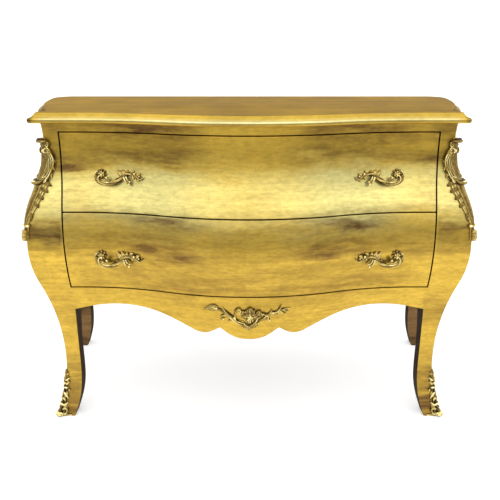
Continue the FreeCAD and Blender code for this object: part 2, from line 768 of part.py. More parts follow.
def bar_shape():
    """Scrolled bar of even width that arches away from the drawer."""
    length = size("handle_length")
    depth = size("handle_depth")
    radius = size("handle_bar_radius")
    path = [Vector(x * length, y * depth, 0) for x, y in HANDLE_PATH_SHARES]
    scroll = strip_face(path, radius).extrude(Vector(0, 0, size("handle_projection")))
    crest = [Vector(x * length, z * size("handle_projection"), 0) for x, z in HANDLE_ARCH_SHARES]
    foot = [point - Vector(0, 2 * radius, 0) for point in crest]
    outline = crest + foot[::-1]
    arch = upright(flat_face(lines(outline + outline[:1])))
    return scroll.common(arch.translated(Vector(0, length, 0)).extrude(Vector(0, -2 * length, 0)))


def ring(radius):
    """Corners of an even many-sided figure on the frame's plane."""
    turns = [2 * math.pi * number / ROUND_SIDES for number in range(ROUND_SIDES)]
    return [Vector(math.cos(turn), math.sin(turn), 0) * radius for turn in turns]


def many_sided(radius, length):
    """Bar of even many-sided section that stands on the frame's plane."""
    corners = ring(radius)
    return flat_face(lines(corners + corners[:1])).extrude(Vector(0, 0, length))


def laid(bar, start, direction):
    """Lay a bar from a point along a direction."""
    return bar.transformed(FreeCAD.Placement(start, FreeCAD.Rotation(Vector(0, 0, 1), direction)).toMatrix())


def surface_distance(point, out):
    """Distance from a point along a direction to the bombé front."""
    distance = 0
    for _ in range(SEAT_STEPS):
        probe = point + out * distance
        surface_y = place("neck_y") - bow(probe.x) - swell(probe.z)
        distance += (surface_y - probe.y) / out.y
    return distance


def handle_post(share, frame):
    """Post that seats on the drawer's front with the whole of its rim clear of it."""
    x, y = share
    centre = Vector(x * size("handle_length"), y * size("handle_depth"), 0)
    out = frame.Rotation.multVec(Vector(0, 0, 1))
    rim = [centre + point for point in ring(size("handle_post_radius"))]
    seat = max(surface_distance(frame.multVec(point), out) for point in rim) + size("mount_clearance")
    height = HANDLE_POST_TOP_SHARE * size("handle_projection") - seat
    post = many_sided(size("handle_post_radius"), height)
    return post.translated(centre + Vector(0, 0, seat))


def handle_shape(frame):
    """Rosette, scrolled bar, leaves and posts of one cast pull."""
    length = size("handle_length")
    depth = size("handle_depth")
    rise = HANDLE_LEAF_RISE_SHARE * size("handle_projection")
    thickness = HANDLE_LEAF_THICKNESS_SHARE * size("handle_projection")
    pieces = [bar_shape()]
    rosette = scalloped_disc(size("rosette_radius"), size("rosette_thickness"))
    pieces.append(rosette.translated(Vector(0, 0, rise)))
    for corners in HANDLE_LEAF_SHARES:
        points = [Vector(x * length, y * depth, rise) for x, y in corners]
        pieces.append(flat_face(lines(points + points[:1])).extrude(Vector(0, 0, thickness)))
    pieces += [handle_post(share, frame) for share in HANDLE_POST_SHARES]
    pull = pieces[0].fuse(pieces[1:]).removeSplitter()
    pull.Placement = frame
    return pull


def make_handles(drawer):
    """Left-hand pull of a drawer and its mirrored twin."""
    middle = (place(f"{drawer}_front_bottom") + place(f"{drawer}_front_top")) / 2
    frame = surface_frame(-size(f"{drawer}_handle_spread") / 2, middle - size("handle_drop"))
    left = feature(f"{drawer}_left_handle", handle_shape(frame))
    mirror(f"{drawer}_right_handle", left)


# Cast mounts

def wing(edge_shares, length, width, top, thickness, across):
    """Plate on one face of the right front post, from a leafy inner edge out to the arris."""
    start = size("mount_clearance") + (length / chord_count(length)) ** 2 / (8 * BELLY_RADIUS)
    stop = start + thickness
    low = top - length
    base = place("neck_half") if across else place("neck_y")
    other = place("neck_y") if across else place("neck_half")
    outward = 1 if across else -1
    inner = []
    for drop_share, width_share in edge_shares:
        z = top - drop_share * length
        inner.append(Vector(base + outward * (swell(z) - width_share * width), z, 0))
    outer = swell_chords(base + outward * stop, outward, low, top)
    corner_low = Vector(base + outward * (swell(low) + stop), low, 0)
    corner_high = Vector(base + outward * (swell(top) + stop), top, 0)
    outline = flat_face(lines([corner_high] + inner + [corner_low]) + outer)
    band_out = -outward
    band = swell_chords(other + band_out * start, band_out, low, top)
    band += swell_chords(other + band_out * stop, band_out, low, top)
    for z in (low, top):
        band += lines([Vector(other + band_out * (swell(z) + gap), z, 0) for gap in (start, stop)])
    layer = flat_face(band)
    reach = 2 * place("rear_half")
    if across:
        prism = upright(outline).translated(Vector(0, -reach, 0)).extrude(Vector(0, 2 * reach, 0))
        return prism.common(sideways(layer).extrude(Vector(reach, 0, 0)))
    prism = sideways(outline).extrude(Vector(reach, 0, 0))
    return prism.common(upright(layer).translated(Vector(0, -reach, 0)).extrude(Vector(0, 2 * reach, 0)))


def corner_mount(edge_shares, length, width, top):
    """Two leafy wings that meet along the arris."""
    front, side = (wing(edge_shares, length, width, top, size("mount_thickness"), across) for across in (True, False))
    return front.fuse(side)


def arris_point(z, outward):
    """Point outside the right front arris, on the diagonal through it."""
    reach = swell(z) + outward
    return Vector(place("neck_half") + reach, place("neck_y") - reach, z)


def make_chutes():
    """Corner mounts: curl, ribbed shell, hanging leaf, bead and tail."""
    top = place("case_height") - size("chute_drop")
    length = size("chute_length")
    body = corner_mount(CHUTE_SHELL_SHARES + CHUTE_LEAF_SHARES, length, size("chute_width"), top)
    bead_z = top - CHUTE_BEAD_SHARE * length
    diagonal = Vector(1, 1, 0).normalize()
    outward = Vector(1, -1, 0).normalize()
    bead_bar = many_sided(size("chute_bead_radius"), size("mount_thickness") + size("mount_relief"))
    bead = laid(bead_bar, arris_point(bead_z, 0), outward)
    curl_length = 2 * size("chute_curl_radius")
    curl_middle = arris_point(top, size("mount_thickness") + size("mount_clearance"))
    curl_start = curl_middle - diagonal * (curl_length / 2) - Vector(0, 0, size("chute_curl_radius"))
    curl = laid(many_sided(size("chute_curl_radius"), curl_length), curl_start, diagonal)
    finish_corner_mount("{side}_corner_mount", body.fuse([bead, curl]))


def make_sabots():
    """Foot mounts: a leaf up the arris, a strip round the foot and a scrolled toe."""
    low = size("sabot_lift")
    height = size("sabot_height")
    body = corner_mount(SABOT_LEAF_SHARES + ((1, 1),), height, size("sabot_width"), low + height)
    strip_top = low + size("sabot_strip_height")
    foot_width = swell(strip_top) + size("post_size") - LEG_INNER_SHARES[-1][1] * size("ankle_width")
    strips = [wing(((0, 1), (1, 1)), size("sabot_strip_height"), foot_width, strip_top,
                   size("mount_thickness"), across) for across in (True, False)]
    radius = size("sabot_toe_radius")
    diagonal = Vector(1, 1, 0).normalize()
    toe_middle = arris_point(low + radius, size("mount_thickness"))
    toe = laid(many_sided(radius, 2 * radius), toe_middle - diagonal * radius, diagonal)
    finish_corner_mount("{side}_sabot", body.fuse(strips + [toe]))


def finish_corner_mount(label, shape):
    """Clear a right-hand mount of the post that it is pinned to, and mirror it."""
    gap = size("mount_clearance")
    post = doc.getObjectsByLabel("front_right_leg")[0].Shape
    grown = [post.translated(Vector(gap, -gap, 0)), post]
    cleared = shape.cut(grown).removeSplitter()
    right = feature(label.format(side="right"), cleared)
    mirror(label.format(side="left"), right)


def garland_outlines():
    """Faces of the garland's branch, twigs, flower and scroll in the front view."""
    half = size("garland_width") / 2
    height = size("garland_height")
    base = place("apron_bottom") + size("garland_rise")
    upper = [Vector(x * half, base + (z + grow) * height, 0) for x, z, grow in GARLAND_SHARES]
    lower = [Vector(x * half, base + (z - grow) * height, 0) for x, z, grow in GARLAND_SHARES]
    branch = upper + lower[::-1]
    faces = [flat_face(lines(branch + branch[:1]))]
    for corners in TWIG_SHARES:
        points = [Vector(x * half, base + z * height, 0) for x, z in corners]
        faces.append(flat_face(lines(points + points[:1])))
    centre = Vector(SCROLL_PLACE_SHARES[0] * half, base + SCROLL_PLACE_SHARES[1] * height, 0)
    disc = Part.Face(Part.Wire(Part.makeCircle(SCROLL_OUTER_SHARE * height, centre)))
    hole = Part.Face(Part.Wire(Part.makeCircle(SCROLL_INNER_SHARE * height, centre)))
    faces.append(disc.cut(hole).Faces[0])
    return faces


def apron_layer(start, stop):
    """Thin layer over the middle of the apron, bowed with it and leaning as it leans."""
    low = place("apron_bottom") + size("garland_rise")
    high = low + size("garland_height")
    band = []
    ends = []
    for gap in (start, stop):
        middle = serpentine(place("neck_y") - swell(low) - gap, place("opening_half"))[2]
        band.append(middle)
        ends.append((middle.StartPoint, middle.EndPoint))
    band += [Part.LineSegment(near, far) for near, far in zip(*ends)]
    lean = Vector(0, swell(low) - swell(high), high - low)
    return flat_face(band).translated(Vector(0, 0, low)).extrude(lean)


def make_apron_mount():
    """Garland with a flower at its middle, pinned to the apron."""
    start = size("mount_clearance")
    plate = apron_layer(start, start + size("mount_thickness"))
    raised = apron_layer(start, start + size("mount_thickness") + size("mount_relief"))
    depth = 2 * size("case_depth")

    def prism(face):
        return upright(face).translated(Vector(0, -depth, 0)).extrude(Vector(0, depth, 0))

    pieces = [plate.common(prism(face)) for face in garland_outlines()]
    flower = scalloped_disc(size("flower_radius"), depth)
    flower = flower.rotated(Vector(0, 0, 0), Vector(1, 0, 0), 90)
    x = FLOWER_PLACE_SHARES[0] * size("garland_width") / 2
    z = place("apron_bottom") + size("garland_rise") + FLOWER_PLACE_SHARES[1] * size("garland_height")
    pieces.append(raised.common(flower.translated(Vector(x, 0, z))))
    mount = pieces[0].fuse(pieces[1:]).removeSplitter()
    apron = doc.getObjectsByLabel("front_apron")[0].Shape
    feature("apron_mount", mount.cut(apron.translated(Vector(0, -start / 2, 0))))


make_top()
make_front_legs()
make_rear_legs()
make_sides()
make_front_rails()
make_back()
make_bottom_board()
make_runners()
for name in DRAWERS:
    make_drawer(name)
doc.recompute()
make_chutes()
make_sabots()
make_apron_mount()
doc.recompute()

NODES = (
    "top_panel", "front_left_leg", "front_right_leg", "rear_left_leg", "rear_right_leg",
    "left_side_panel", "right_side_panel", "frieze_rail", "divider_rail", "front_apron",
    "rear_top_rail", "rear_middle_rail", "rear_bottom_rail", "back_panel", "bottom_board",
    "left_kicker", "right_kicker", "left_corner_mount", "right_corner_mount",
    "left_sabot", "right_sabot", "apron_mount",
) + tuple(
    name.format(drawer=drawer) for drawer in DRAWERS for name in (
        "{drawer}_left_runner", "{drawer}_right_runner", "{drawer}_drawer_stops", "{drawer}_drawer_front",
        "{drawer}_drawer_left_side", "{drawer}_drawer_right_side", "{drawer}_drawer_back",
        "{drawer}_drawer_bottom", "{drawer}_left_handle", "{drawer}_right_handle",
    )
)

failed = [item.Label for item in doc.Objects if {"Invalid", "Error"} & set(item.State)]
pieces = {node: doc.getObjectsByLabel(node)[0].Shape for node in NODES}
failed += [node for node, shape in pieces.items() if shape.isNull() or not shape.isValid()]
if failed:
    raise RuntimeError(f"not built: {failed}")

os.makedirs("parts", exist_ok=True)
for node, shape in pieces.items():
    shape.exportStep(f"parts/{node}.step")
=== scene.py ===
import math

import bpy
import numpy as np
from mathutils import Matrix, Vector


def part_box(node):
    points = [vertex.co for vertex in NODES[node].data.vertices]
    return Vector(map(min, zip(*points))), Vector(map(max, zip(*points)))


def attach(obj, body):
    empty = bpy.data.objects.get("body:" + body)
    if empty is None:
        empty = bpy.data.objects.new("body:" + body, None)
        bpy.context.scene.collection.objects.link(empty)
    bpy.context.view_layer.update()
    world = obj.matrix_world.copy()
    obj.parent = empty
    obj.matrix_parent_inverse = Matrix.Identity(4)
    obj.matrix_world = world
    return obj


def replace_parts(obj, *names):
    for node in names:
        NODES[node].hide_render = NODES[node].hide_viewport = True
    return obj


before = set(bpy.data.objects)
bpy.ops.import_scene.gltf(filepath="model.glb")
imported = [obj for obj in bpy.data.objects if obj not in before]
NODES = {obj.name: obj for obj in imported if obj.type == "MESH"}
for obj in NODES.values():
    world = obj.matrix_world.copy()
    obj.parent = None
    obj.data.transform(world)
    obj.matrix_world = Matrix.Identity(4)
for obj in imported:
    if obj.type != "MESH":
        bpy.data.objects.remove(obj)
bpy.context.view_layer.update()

# Sizes of the case in metres
CASE_HEIGHT = 0.826
TOP_HEIGHT = 0.85
OPENING_HALF = 0.47
FRONT_HALF = 0.467
NECK_HALF = 0.508
SIDE_SPLAY = 0.072
REAR_HALF = NECK_HALF + SIDE_SPLAY
POST_SIZE = 0.038
NECK_Y = -0.1465
BACK_Y = 0.2585
POST_BACK_Y = NECK_Y + POST_SIZE
REAR_POST_Y = BACK_Y - POST_SIZE
SIDE_DEPTH = REAR_POST_Y - POST_BACK_Y
LEG_HEIGHT = 0.332
ANKLE_WIDTH = 0.04
SIDE_THICKNESS = 0.022
SIDE_ARCH = 0.026
APRON_TOP = 0.403
APRON_DROP = 0.132
FRONT_BOW = 0.065
BOW_FLAT = 0.04
BOW_REACH = OPENING_HALF - BOW_FLAT
NECK_HEIGHT = 0.785
BELLY_HEIGHT = 0.512
BELLY_DEPTH = 0.055
BELLY_RADIUS = 0.34
ANKLE_HEIGHT = 0.19
ANKLE_OFFSET = 0.008
TOE_FLARE = 0.036
ARRIS_RADIUS = 0.004
EDGE_RADIUS = 0.0015

# Top
TOP_THICKNESS = 0.024
NOSE_THICKNESS = 0.013
TOP_OVERHANG = 0.026
TOP_REAR_OVERHANG = 0.008
COVE_WIDTH = 0.011
NOSE_ROUND = 0.005
TOP_CORNER_RADIUS = 0.048
TOP_SIDE_BULGE = 0.012

# Inner edges of the leg and lower edge of the apron, as in the solids
LEG_INNER_SHARES = ((0, 0.76), (0.17, 0.34), (0.36, 0.17), (0.6, 0.15), (0.85, 0.08), (1, 0))
APRON_ARCH_SHARES = ((1, 0.54), (0.88, 0.44), (0.745, 0.385), (0.6, 0.42), (0.435, 0.6), (0.3, 0.845))
APRON_LOBE_SHARES = ((0.3, 0.845), (0.25, 0.875), (0.165, 0.73))
APRON_CENTRE_SHARES = ((0.165, 0.73), (0.1, 0.91), (0, 1), (-0.1, 0.91), (-0.165, 0.73))


# Curves that the case follows

def cubic_curve(knots):
    """Smooth curve through points, as a function of their first value."""
    knots = sorted(knots)
    x = np.array([knot[0] for knot in knots])
    y = np.array([knot[1] for knot in knots])
    step = np.diff(x)
    slope = np.diff(y) / step
    matrix = np.eye(len(x))
    right = np.zeros(len(x))
    for number in range(1, len(x) - 1):
        before, after = step[number - 1:number + 1]
        matrix[number, number - 1:number + 2] = (before, 2 * (before + after), after)
        right[number] = 6 * (slope[number] - slope[number - 1])
    bend = np.linalg.solve(matrix, right)

    def value(at):
        number = int(np.clip(np.searchsorted(x, at) - 1, 0, len(step) - 1))
        run = step[number]
        near = (x[number + 1] - at) / run
        far = (at - x[number]) / run
        curve = ((near ** 3 - near) * bend[number] + (far ** 3 - far) * bend[number + 1]) * run ** 2 / 6
        return float(near * y[number] + far * y[number + 1] + curve)

    return value


def tangent_radius(rise, depth, other_radius):
    """Radius of the arc that turns back an arc of other_radius over a rise and a depth."""
    return (rise ** 2 + depth ** 2) / (2 * depth) - other_radius


NECK_RISE = NECK_HEIGHT - BELLY_HEIGHT
ANKLE_RISE = BELLY_HEIGHT - ANKLE_HEIGHT
NECK_RADIUS = tangent_radius(NECK_RISE, BELLY_DEPTH, BELLY_RADIUS)
ANKLE_RADIUS = tangent_radius(ANKLE_RISE, BELLY_DEPTH - ANKLE_OFFSET, BELLY_RADIUS)
TOE_RADIUS = tangent_radius(ANKLE_HEIGHT, TOE_FLARE - ANKLE_OFFSET, 0)
UPPER_TURN = BELLY_HEIGHT + NECK_RISE * BELLY_RADIUS / (BELLY_RADIUS + NECK_RADIUS)
LOWER_TURN = BELLY_HEIGHT - ANKLE_RISE * BELLY_RADIUS / (BELLY_RADIUS + ANKLE_RADIUS)
BOW_RADIUS = (BOW_REACH ** 2 + FRONT_BOW ** 2) / (4 * FRONT_BOW)
BOW_ANGLE = math.asin(BOW_REACH / 2 / BOW_RADIUS)


def swell(z):
    """How far the case stands out from its neck at a height."""
    if z > UPPER_TURN:
        return NECK_RADIUS - math.sqrt(NECK_RADIUS ** 2 - (z - NECK_HEIGHT) ** 2)
    if z > LOWER_TURN:
        return BELLY_DEPTH - BELLY_RADIUS + math.sqrt(BELLY_RADIUS ** 2 - (z - BELLY_HEIGHT) ** 2)
    radius = ANKLE_RADIUS if z > ANKLE_HEIGHT else TOE_RADIUS
    return ANKLE_OFFSET + radius - math.sqrt(radius ** 2 - (z - ANKLE_HEIGHT) ** 2)


def bow(x):
    """How far the front stands forward of the posts at a distance from the middle."""
    reach = abs(x)
    if reach > BOW_REACH:
        return 0
    if reach > BOW_REACH / 2:
        return BOW_RADIUS - math.sqrt(BOW_RADIUS ** 2 - (BOW_REACH - reach) ** 2)
    return FRONT_BOW - BOW_RADIUS + math.sqrt(BOW_RADIUS ** 2 - reach ** 2)


def front_point(x, z, out=0):
    """Point at a distance outside the bombé front."""
    step = EDGE_RADIUS
    slope_x = (bow(x + step) - bow(x - step)) / (2 * step)
    slope_z = (swell(z + step) - swell(z - step)) / (2 * step)
    normal = -Vector((slope_x, 1, slope_z)).normalized()
    return Vector((x, NECK_Y - bow(x) - swell(z), z)) + normal * out


leg_inner_share = cubic_curve(LEG_INNER_SHARES)
apron_arch = cubic_curve(APRON_ARCH_SHARES)
apron_lobe = cubic_curve(APRON_LOBE_SHARES)
apron_centre = cubic_curve(APRON_CENTRE_SHARES)


def leg_inset(z):
    """How far the leg's inner edge moves outwards below the knee."""
    return ANKLE_WIDTH * leg_inner_share(z / LEG_HEIGHT) if z < LEG_HEIGHT else 0


def apron_edge(x):
    """Height of the apron's scalloped edge."""
    share = min(abs(x) / OPENING_HALF, 1)
    if share > APRON_LOBE_SHARES[0][0]:
        drop_share = apron_arch(share)
    elif share > APRON_CENTRE_SHARES[0][0]:
        drop_share = apron_lobe(share)
    else:
        drop_share = apron_centre(share)
    return APRON_TOP - drop_share * APRON_DROP


# Meshes

SIDES = (("left", -1), ("right", 1))
DRAWERS = ("upper", "lower")
BEVEL_STEPS = 3
SHARP_ANGLE = math.radians(40)
FLAT_FACE_WEIGHT = 100


def spaced(start, end, count):
    """Evenly spaced values from start to end."""
    return [start + (end - start) * number / (count - 1) for number in range(count)]


def full_turn(count):
    """Evenly spaced angles round a circle."""
    return spaced(0, 2 * math.pi * (1 - 1 / count), count)


def grid_faces(rows, columns, first=0, flip=False):
    """Quads of a grid of points stored row by row."""
    faces = []
    for row in range(rows - 1):
        for column in range(columns - 1):
            corner = first + row * columns + column
            quad = (corner, corner + 1, corner + columns + 1, corner + columns)
            faces.append(quad[::-1] if flip else quad)
    return faces


def ring_faces(rings, count, flip=False):
    """Quads between closed rings of points stored one after another."""
    faces = []
    for low in range(0, (rings - 1) * count, count):
        for column in range(count):
            after = (column + 1) % count
            quad = (low + column, low + after, low + count + after, low + count + column)
            faces.append(quad[::-1] if flip else quad)
    return faces


def placed(name, data):
    """New object in the scene."""
    holder = bpy.data.objects.new(name, data)
    bpy.context.scene.collection.objects.link(holder)
    return holder


def mesh_piece(name, points, faces, body, materials, material_of_face=None):
    """Smooth mesh that rides on a body."""
    mesh = bpy.data.meshes.new(name)
    mesh.from_pydata([tuple(point) for point in points], [], faces)
    for material in materials:
        mesh.materials.append(material)
    if material_of_face:
        mesh.polygons.foreach_set("material_index", material_of_face)
    mesh.polygons.foreach_set("use_smooth", [True] * len(mesh.polygons))
    mesh.update()
    piece = placed(name, mesh)
    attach(piece, body)
    return piece


def sharp_edges(mesh):
    """Edges between faces that meet at a sharp angle."""
    normals = {}
    for polygon in mesh.polygons:
        for key in polygon.edge_keys:
            normals.setdefault(key, []).append(polygon.normal)
    pairs = {key: pair for key, pair in normals.items() if len(pair) == 2}
    return {key for key, (one, other) in pairs.items() if one.angle(other) > SHARP_ANGLE}


def soften(piece, half=None):
    """Round the sharp edges, all of them or those nearer the middle than a half width."""
    bevel = piece.modifiers.new("soft_edges", "BEVEL")
    bevel.width = EDGE_RADIUS
    bevel.segments = BEVEL_STEPS
    bevel.limit_method = "WEIGHT" if half else "ANGLE"
    bevel.angle_limit = SHARP_ANGLE
    bevel.harden_normals = True
    if half:
        weights = piece.data.attributes.new("bevel_weight_edge", "FLOAT", "EDGE")
        sharp = sharp_edges(piece.data)
        for edge in piece.data.edges:
            ends = [abs(piece.data.vertices[number].co.x) for number in edge.vertices]
            inner = min(ends) < half - EDGE_RADIUS
            weights.data[edge.index].value = 1.0 if edge.key in sharp and inner else 0.0
            edge.use_edge_sharp = edge.key in sharp and not inner
    return piece


def flatten(piece):
    """Flat faces shaded flat up to their rounded edges."""
    shading = piece.modifiers.new("flat_faces", "WEIGHTED_NORMAL")
    shading.weight = FLAT_FACE_WEIGHT
    shading.keep_sharp = True
    return piece


def slab_piece(name, node, outer, inner, body, materials, half=None, flip=False):
    """Closed skin between two equal grids in place of a solid, with its own material inside."""
    rows = len(outer)
    columns = len(outer[0])
    points = [point for row in outer + inner for point in row]
    behind = rows * columns
    front = grid_faces(rows, columns)
    rear = grid_faces(rows, columns, behind, True)
    edge = list(range(columns))
    edge += [row * columns + columns - 1 for row in range(1, rows)]
    edge += [(rows - 1) * columns + column for column in range(columns - 2, -1, -1)]
    edge += [row * columns for row in range(rows - 2, 0, -1)]
    rim = [(after, here, here + behind, after + behind) for here, after in zip(edge, edge[1:] + edge[:1])]
    faces = front + rear + rim
    if flip:
        faces = [face[::-1] for face in faces]
    kinds = [0] * len(front) + [1] * len(rear) + [0] * len(rim)
    piece = mesh_piece(name, points, faces, body, materials, kinds)
    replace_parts(soften(piece, half), node)


# Materials

BUMP_HEIGHT = EDGE_RADIUS / 3


def shader(name):
    """New material with its node tree and its surface shader."""
    material = bpy.data.materials.new(name)
    material.use_nodes = True
    tree = material.node_tree
    return material, tree, tree.nodes["Principled BSDF"]


def fill(tree, node, inputs):
    """Set each input of a node to a value, or link it to a socket."""
    for key, value in inputs.items():
        if isinstance(value, bpy.types.NodeSocket):
            tree.links.new(value, node.inputs[key])
        else:
            node.inputs[key].default_value = value


def add(tree, kind, inputs=None, **settings):
    """New node with its settings and inputs."""
    node = tree.nodes.new(f"ShaderNode{kind}")
    for key, value in settings.items():
        setattr(node, key, value)
    fill(tree, node, inputs or {})
    return node


def maths(tree, operation, *values, kind="Math"):
    """Result of an operation on numbers, or on vectors."""
    return add(tree, kind, dict(enumerate(values)), operation=operation).outputs[0]


def grey(value):
    """Neutral colour of a level."""
    return (value, value, value)


def ramp(tree, factor, stops):
    """Colour ramp through places and colours."""
    node = add(tree, "ValToRGB", {"Fac": factor})
    elements = node.color_ramp.elements
    while len(elements) < len(stops):
        elements.new(1)
    for element, (place, colour) in zip(elements, stops):
        element.position = place
        element.color = (*colour, 1)
    return node.outputs["Color"]


def table(tree, factor, stops):
    """Ramp of grey levels."""
    return ramp(tree, factor, [(at, grey(level)) for at, level in stops])


def mixed(tree, factor, first, second, blend="MIX"):
    """Two colours, or sockets, blended."""
    pair = [value if isinstance(value, bpy.types.NodeSocket) else (*value, 1) for value in (first, second)]
    inputs = {0: factor, 6: pair[0], 7: pair[1]}
    return add(tree, "Mix", inputs, data_type="RGBA", blend_type=blend).outputs[2]


def darkened(tree, colour, factor, stops):
    """Colour times a table of grey levels."""
    return mixed(tree, 1.0, colour, table(tree, factor, stops), "MULTIPLY")


def noise(tree, vector, scale, detail=4, roughness=0.55):
    """Soft noise in a place."""
    inputs = {"Vector": vector, "Scale": scale, "Detail": detail, "Roughness": roughness}
    return add(tree, "TexNoise", inputs).outputs["Fac"]


def object_place(tree):
    """Place on the object in metres."""
    return add(tree, "TexCoord").outputs["Object"]


def stretched(tree, scale, detail, roughness=0.55):
    """Noise that is stretched along the object's axes."""
    place = add(tree, "Mapping", {"Vector": object_place(tree), "Scale": scale}).outputs["Vector"]
    return noise(tree, place, 1, detail, roughness)


def roughen(tree, surface, height, strength):
    """Fine bumps on a surface."""
    bump = add(tree, "Bump", {"Height": height, "Strength": strength, "Distance": BUMP_HEIGHT})
    fill(tree, surface, {"Normal": bump.outputs["Normal"]})


LEAF_SIZE = 0.085
GOLD = (0.85, 0.56, 0.079)
# Pale gold of the painted highlight bands
GOLD_PAINTED_HIGHLIGHT = (0.90, 0.80, 0.30)
# Brown of the painted shade and painted reflection bands on the front and the sides
GOLD_PAINTED_SHADE = (0.155, 0.072, 0.027)
TOP_BROWN = (0.2, 0.125, 0.058)
GOLD_TINT = (0.92, 0.74, 0.34)
# Colour of the painted highlight along the nose of the top
NOSE_PAINTED_HIGHLIGHT = (1.0, 0.95, 0.47)
# Front faces of the rear posts: gold in painted shade and a near-black painted shadow
REAR_SHADED_GOLD = (0.3, 0.175, 0.07)
REAR_SHADOW_BROWN = (0.045, 0.022, 0.012)
# Brown of the painted shade on the ears and under the nose, also browning the cove and the rim at part
# strength
EDGE_SHADE_BROWN = (0.05, 0.024, 0.010)
# Bands of painted shade, painted reflection and painted highlight on the gilding: strength by height as a
# share of the whole, then by place across the width
HIGH_LEVELS = ((0.81, 0.02), (0.835, 0.04), (0.855, 0.16), (0.874, 0.74), (0.89, 0.86), (0.908, 0.5),
               (0.93, 0.16), (0.965, 0.02), (0.98, 0.3), (1, 0.1))
MIDDLE_LEVELS = ((0.52, 0), (0.555, 0.3), (0.58, 0.65), (0.6, 1), (0.63, 1), (0.65, 0.55), (0.67, 0.36),
                 (0.685, 0.55), (0.705, 1), (0.722, 0.6), (0.735, 0.1), (0.745, 0))
FRIEZE_LEVELS = ((0.9, 0), (0.915, 0.7), (0.94, 1.15), (1, 1.1))
POST_LEVELS = ((0.585, 0), (0.6, 0.5), (0.615, 0.55), (0.63, 0.35), (0.645, 0.6), (0.66, 1),
               (0.675, 0.85), (0.687, 0.3), (0.7, 0))
PATCH_LEVELS = ((0.835, 0), (0.85, 0.8), (0.868, 1.1), (0.885, 0.6), (0.905, 0))
SOFT_SHADE_LEVELS = ((0.68, 0), (0.7, 0.24), (0.735, 0.42), (0.765, 0.38), (0.785, 0.12), (0.8, 0))
LOW_LEVELS = ((0.3, 0.15), (0.4, 0.34), (0.44, 0.38), (0.47, 0.46), (0.5, 0.68), (0.54, 0.64),
              (0.58, 0.42), (0.69, 0.42), (0.705, 0))
# Painted shade on the legs, strongest near the floor
LEG_LEVELS = ((0, 1), (0.06, 1), (0.12, 0.9), (0.17, 0.75), (0.23, 0.45), (0.3, 0.38), (0.36, 0.55),
              (0.42, 0.6), (0.46, 0.3), (0.5, 0))
# Painted shade under the nose, clear along its top, and a part browning of the cove above
NOSE_LEVELS = ((0.972, 0.53), (0.979, 0.44), (0.982, 0.05), (0.987, 0.04), (0.99, 0.22), (1, 0.31))
# Painted highlight band over the lower half of the upper drawer and round the sides at that height
PAINTED_HIGHLIGHT_LEVELS = ((0.62, 0), (0.65, 0.1), (0.68, 0.3), (0.72, 0.9), (0.81, 0.95), (0.84, 0.5), (0.86, 0.15),
               (0.9, 0))
# Painted highlight line along the top of the nose
NOSE_HIGHLIGHT_LEVELS = ((0.979, 0), (0.982, 1), (0.987, 1), (0.989, 0))
ALL = ((0, 1), (1, 1))
NONE = ((0, 0), (1, 0))


def both_sides(stops):
    """Table over places right of the middle, mirrored to the left."""
    return tuple((-place, level) for place, level in stops[:0:-1]) + stops


HIGH_ASIDES = both_sides(((0, 0.15), (0.08, 0.2), (0.17, 1), (0.27, 1), (0.36, 0.65), (0.45, 0.5),
                          (0.47, 0.7), (0.5, 0.85), (0.56, 0.9)))
MIDDLE_ASIDES = both_sides(((0, 0.15), (0.08, 0.2), (0.17, 1), (0.27, 1), (0.33, 0.6), (0.468, 0.5),
                            (0.472, 0.15), (0.56, 0.15)))
FRIEZE_ASIDES = both_sides(((0, 0.02), (0.1, 0.15), (0.17, 0.9), (0.28, 1), (0.37, 0.8), (0.43, 0.3),
                            (0.47, 0.6), (0.56, 0.8)))
POST_ASIDES = both_sides(((0, 0), (0.468, 0), (0.472, 1), (0.56, 1)))
PATCH_ASIDES = both_sides(((0, 0), (0.36, 0), (0.42, 0.75), (0.467, 1), (0.472, 0.6), (0.56, 0.6)))
SOFT_SHADE_ASIDES = both_sides(((0, 0.75), (0.06, 0.75), (0.15, 0.4), (0.2, 0), (0.38, 0), (0.43, 0.9),
                          (0.467, 1), (0.472, 0.45), (0.56, 0.45)))
LOW_ASIDES = both_sides(((0, 1), (0.25, 0.95), (0.35, 0.8), (0.44, 0.6), (0.47, 0.45), (0.56, 0.45)))
# Painted shade on the legs, stronger on the right leg, which the light reaches less
LEG_ASIDES = ((-0.47, 0.8), (-0.44, 0), (0.44, 0), (0.47, 1))
# Painted shade on the ears of the top
EAR_ASIDES = both_sides(((0, 0), (0.516, 0), (0.524, 1), (0.545, 1), (0.56, 0.3)))
# Brown at part strength along the rim, full painted shade on the ears
RIM_ASIDES = both_sides(((0, 0.45), (0.5, 0.45), (0.512, 1), (0.545, 1), (0.56, 0.45)))
NOSE_ASIDES = both_sides(((0, 1), (0.14, 1), (0.3, 0.72), (0.5, 0.68), (0.515, 0.1), (0.6, 0.1)))
# Painted highlight across the width, strongest part-way out from the middle
PAINTED_HIGHLIGHT_ASIDES = both_sides(((0, 0.5), (0.1, 0.65), (0.2, 1), (0.3, 1), (0.4, 0.76), (0.44, 0.7),
                          (0.47, 0.88), (0.56, 0.88)))
FRONT_BANDS = ((HIGH_LEVELS, HIGH_ASIDES), (MIDDLE_LEVELS, MIDDLE_ASIDES),
               (FRIEZE_LEVELS, FRIEZE_ASIDES), (POST_LEVELS, POST_ASIDES), (PATCH_LEVELS, PATCH_ASIDES),
               (SOFT_SHADE_LEVELS, SOFT_SHADE_ASIDES), (LOW_LEVELS, LOW_ASIDES), (LEG_LEVELS, LEG_ASIDES))
SIDE_BANDS = ((HIGH_LEVELS, ALL), (POST_LEVELS, ALL), (LOW_LEVELS, ALL), (LEG_LEVELS, ALL))
